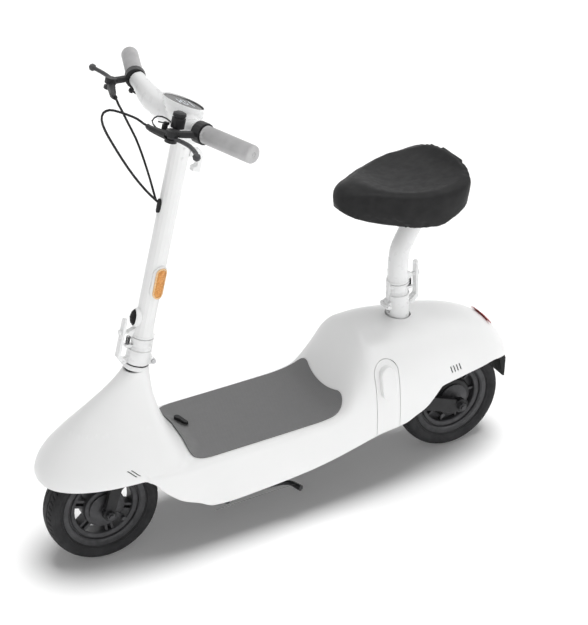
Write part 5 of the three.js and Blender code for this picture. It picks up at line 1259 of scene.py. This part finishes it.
def dress_all():
    for pieces, slot in PIECE_SLOTS:
        for piece in pieces:
            dress(piece, slot)
    dress(display_marks, "marks")
    for border in reflector_borders:
        dress(border, "pale_amber")
    for finish, names in FINISH_OF.items():
        for name in names:
            node = cad_nodes[name]
            for place in node.material_slots:
                place.material = finishes[finish]
            soften(node, SMOOTH_DEGREES)


dress_all()

# Floor, lamps and surroundings

FLOOR_SIZE = 30000.0
FLOOR_COLOUR = (0.97, 0.97, 0.97, 1)
FLOOR_LIFT = 0.07
KEY_FROM = (-0.30, 0.02, 0.95)
KEY_SPREAD = math.radians(85.0)
KEY_STRENGTH = 1.85
FLOOR_KEY_FROM = (-0.12, 0.05, 0.99)
FLOOR_KEY_SPREAD = math.radians(30.0)
FLOOR_KEY_STRENGTH = 2.75
BAND_TOP = 0.27
BAND_STRENGTH = 2.0
BAND_SIDE = (-0.25, 0.97, 0.0)
BAND_LEAN = 0.5
ZENITH_STRENGTH = 0.22


def calculated(tree, operation, first, second):
    """The result of an operation on two linked numbers."""
    node = tree.nodes.new("ShaderNodeMath")
    node.operation = operation
    tree.links.new(first, node.inputs[0])
    tree.links.new(second, node.inputs[1])
    return node.outputs[0]


def background_rays(tree):
    """1 for rays that should see the plain white studio rather than its lamps."""
    rays = tree.nodes.new("ShaderNodeLightPath").outputs
    both = calculated(tree, "MAXIMUM", rays["Is Camera Ray"], rays["Is Glossy Ray"])
    return calculated(tree, "MAXIMUM", both, rays["Is Transmission Ray"])


def make_world():
    world = bpy.data.worlds.new("studio")
    world.use_nodes = True
    bpy.context.scene.world = world
    tree = world.node_tree
    place = tree.nodes.new("ShaderNodeTexCoord").outputs["Generated"]
    split = tree.nodes.new("ShaderNodeSeparateXYZ")
    tree.links.new(place, split.inputs[0])
    band = mapped(tree, split.outputs["Z"], 0.0, BAND_TOP, BAND_STRENGTH, ZENITH_STRENGTH)
    band.interpolation_type = "SMOOTHSTEP"
    facing = add_node(tree, "ShaderNodeVectorMath", {1: BAND_SIDE})
    facing.operation = "DOT_PRODUCT"
    tree.links.new(place, facing.inputs[0])
    lean = mapped(tree, facing.outputs["Value"], -1.0, 1.0, 1 - BAND_LEAN, 1 + BAND_LEAN)
    strength = calculated(tree, "MULTIPLY", band.outputs["Result"], lean.outputs["Result"])
    lamp = set_numbers(tree.nodes["Background"], {"Color": (1, 1, 1, 1)})
    tree.links.new(strength, lamp.inputs["Strength"])
    plain = add_node(tree, "ShaderNodeBackground", {"Color": (1, 1, 1, 1), "Strength": 1.0})
    mix = tree.nodes.new("ShaderNodeMixShader")
    for socket, value in enumerate((background_rays(tree), lamp.outputs[0], plain.outputs[0])):
        tree.links.new(value, mix.inputs[socket])
    tree.links.new(mix.outputs[0], tree.nodes["World Output"].inputs["Surface"])


def make_floor():
    half = FLOOR_SIZE / 2
    points = [(-half, -half, 0), (half, -half, 0), (half, half, 0), (-half, half, 0)]
    floor = new_object("floor", metres(points), [(0, 1, 2, 3)])
    material = bpy.data.materials.new("studio_floor")
    material.use_nodes = True
    tree = material.node_tree
    shader = set_numbers(tree.nodes["Principled BSDF"], {
        "Base Color": FLOOR_COLOUR, "Roughness": 0.9, "Specular IOR Level": 0.0,
        "Emission Color": (1, 1, 1, 1)})
    lift = add_node(tree, "ShaderNodeMath", {1: FLOOR_LIFT})
    lift.operation = "MULTIPLY"
    tree.links.new(background_rays(tree), lift.inputs[0])
    tree.links.new(lift.outputs[0], shader.inputs["Emission Strength"])
    floor.data.materials.append(material)
    return floor


def make_sun(name, away, spread, strength, floor, reaches_floor):
    """A soft sun that lights either the floor alone or everything else."""
    lamp = bpy.data.lights.new(name, "SUN")
    lamp.angle = spread
    lamp.energy = strength
    sun = bpy.data.objects.new(name, lamp)
    sun.rotation_euler = Vector(away).to_track_quat("Z", "Y").to_euler()
    bpy.context.collection.objects.link(sun)
    lit = bpy.data.collections.new(name + "_lit")
    lit.objects.link(floor)
    lit.collection_objects[0].light_linking.link_state = "INCLUDE" if reaches_floor else "EXCLUDE"
    sun.light_linking.receiver_collection = lit


make_world()
studio_floor = make_floor()
make_sun("key", KEY_FROM, KEY_SPREAD, KEY_STRENGTH, studio_floor, False)
make_sun("floor_key", FLOOR_KEY_FROM, FLOOR_KEY_SPREAD, FLOOR_KEY_STRENGTH, studio_floor, True)
bpy.context.scene.view_settings.view_transform = "Standard"
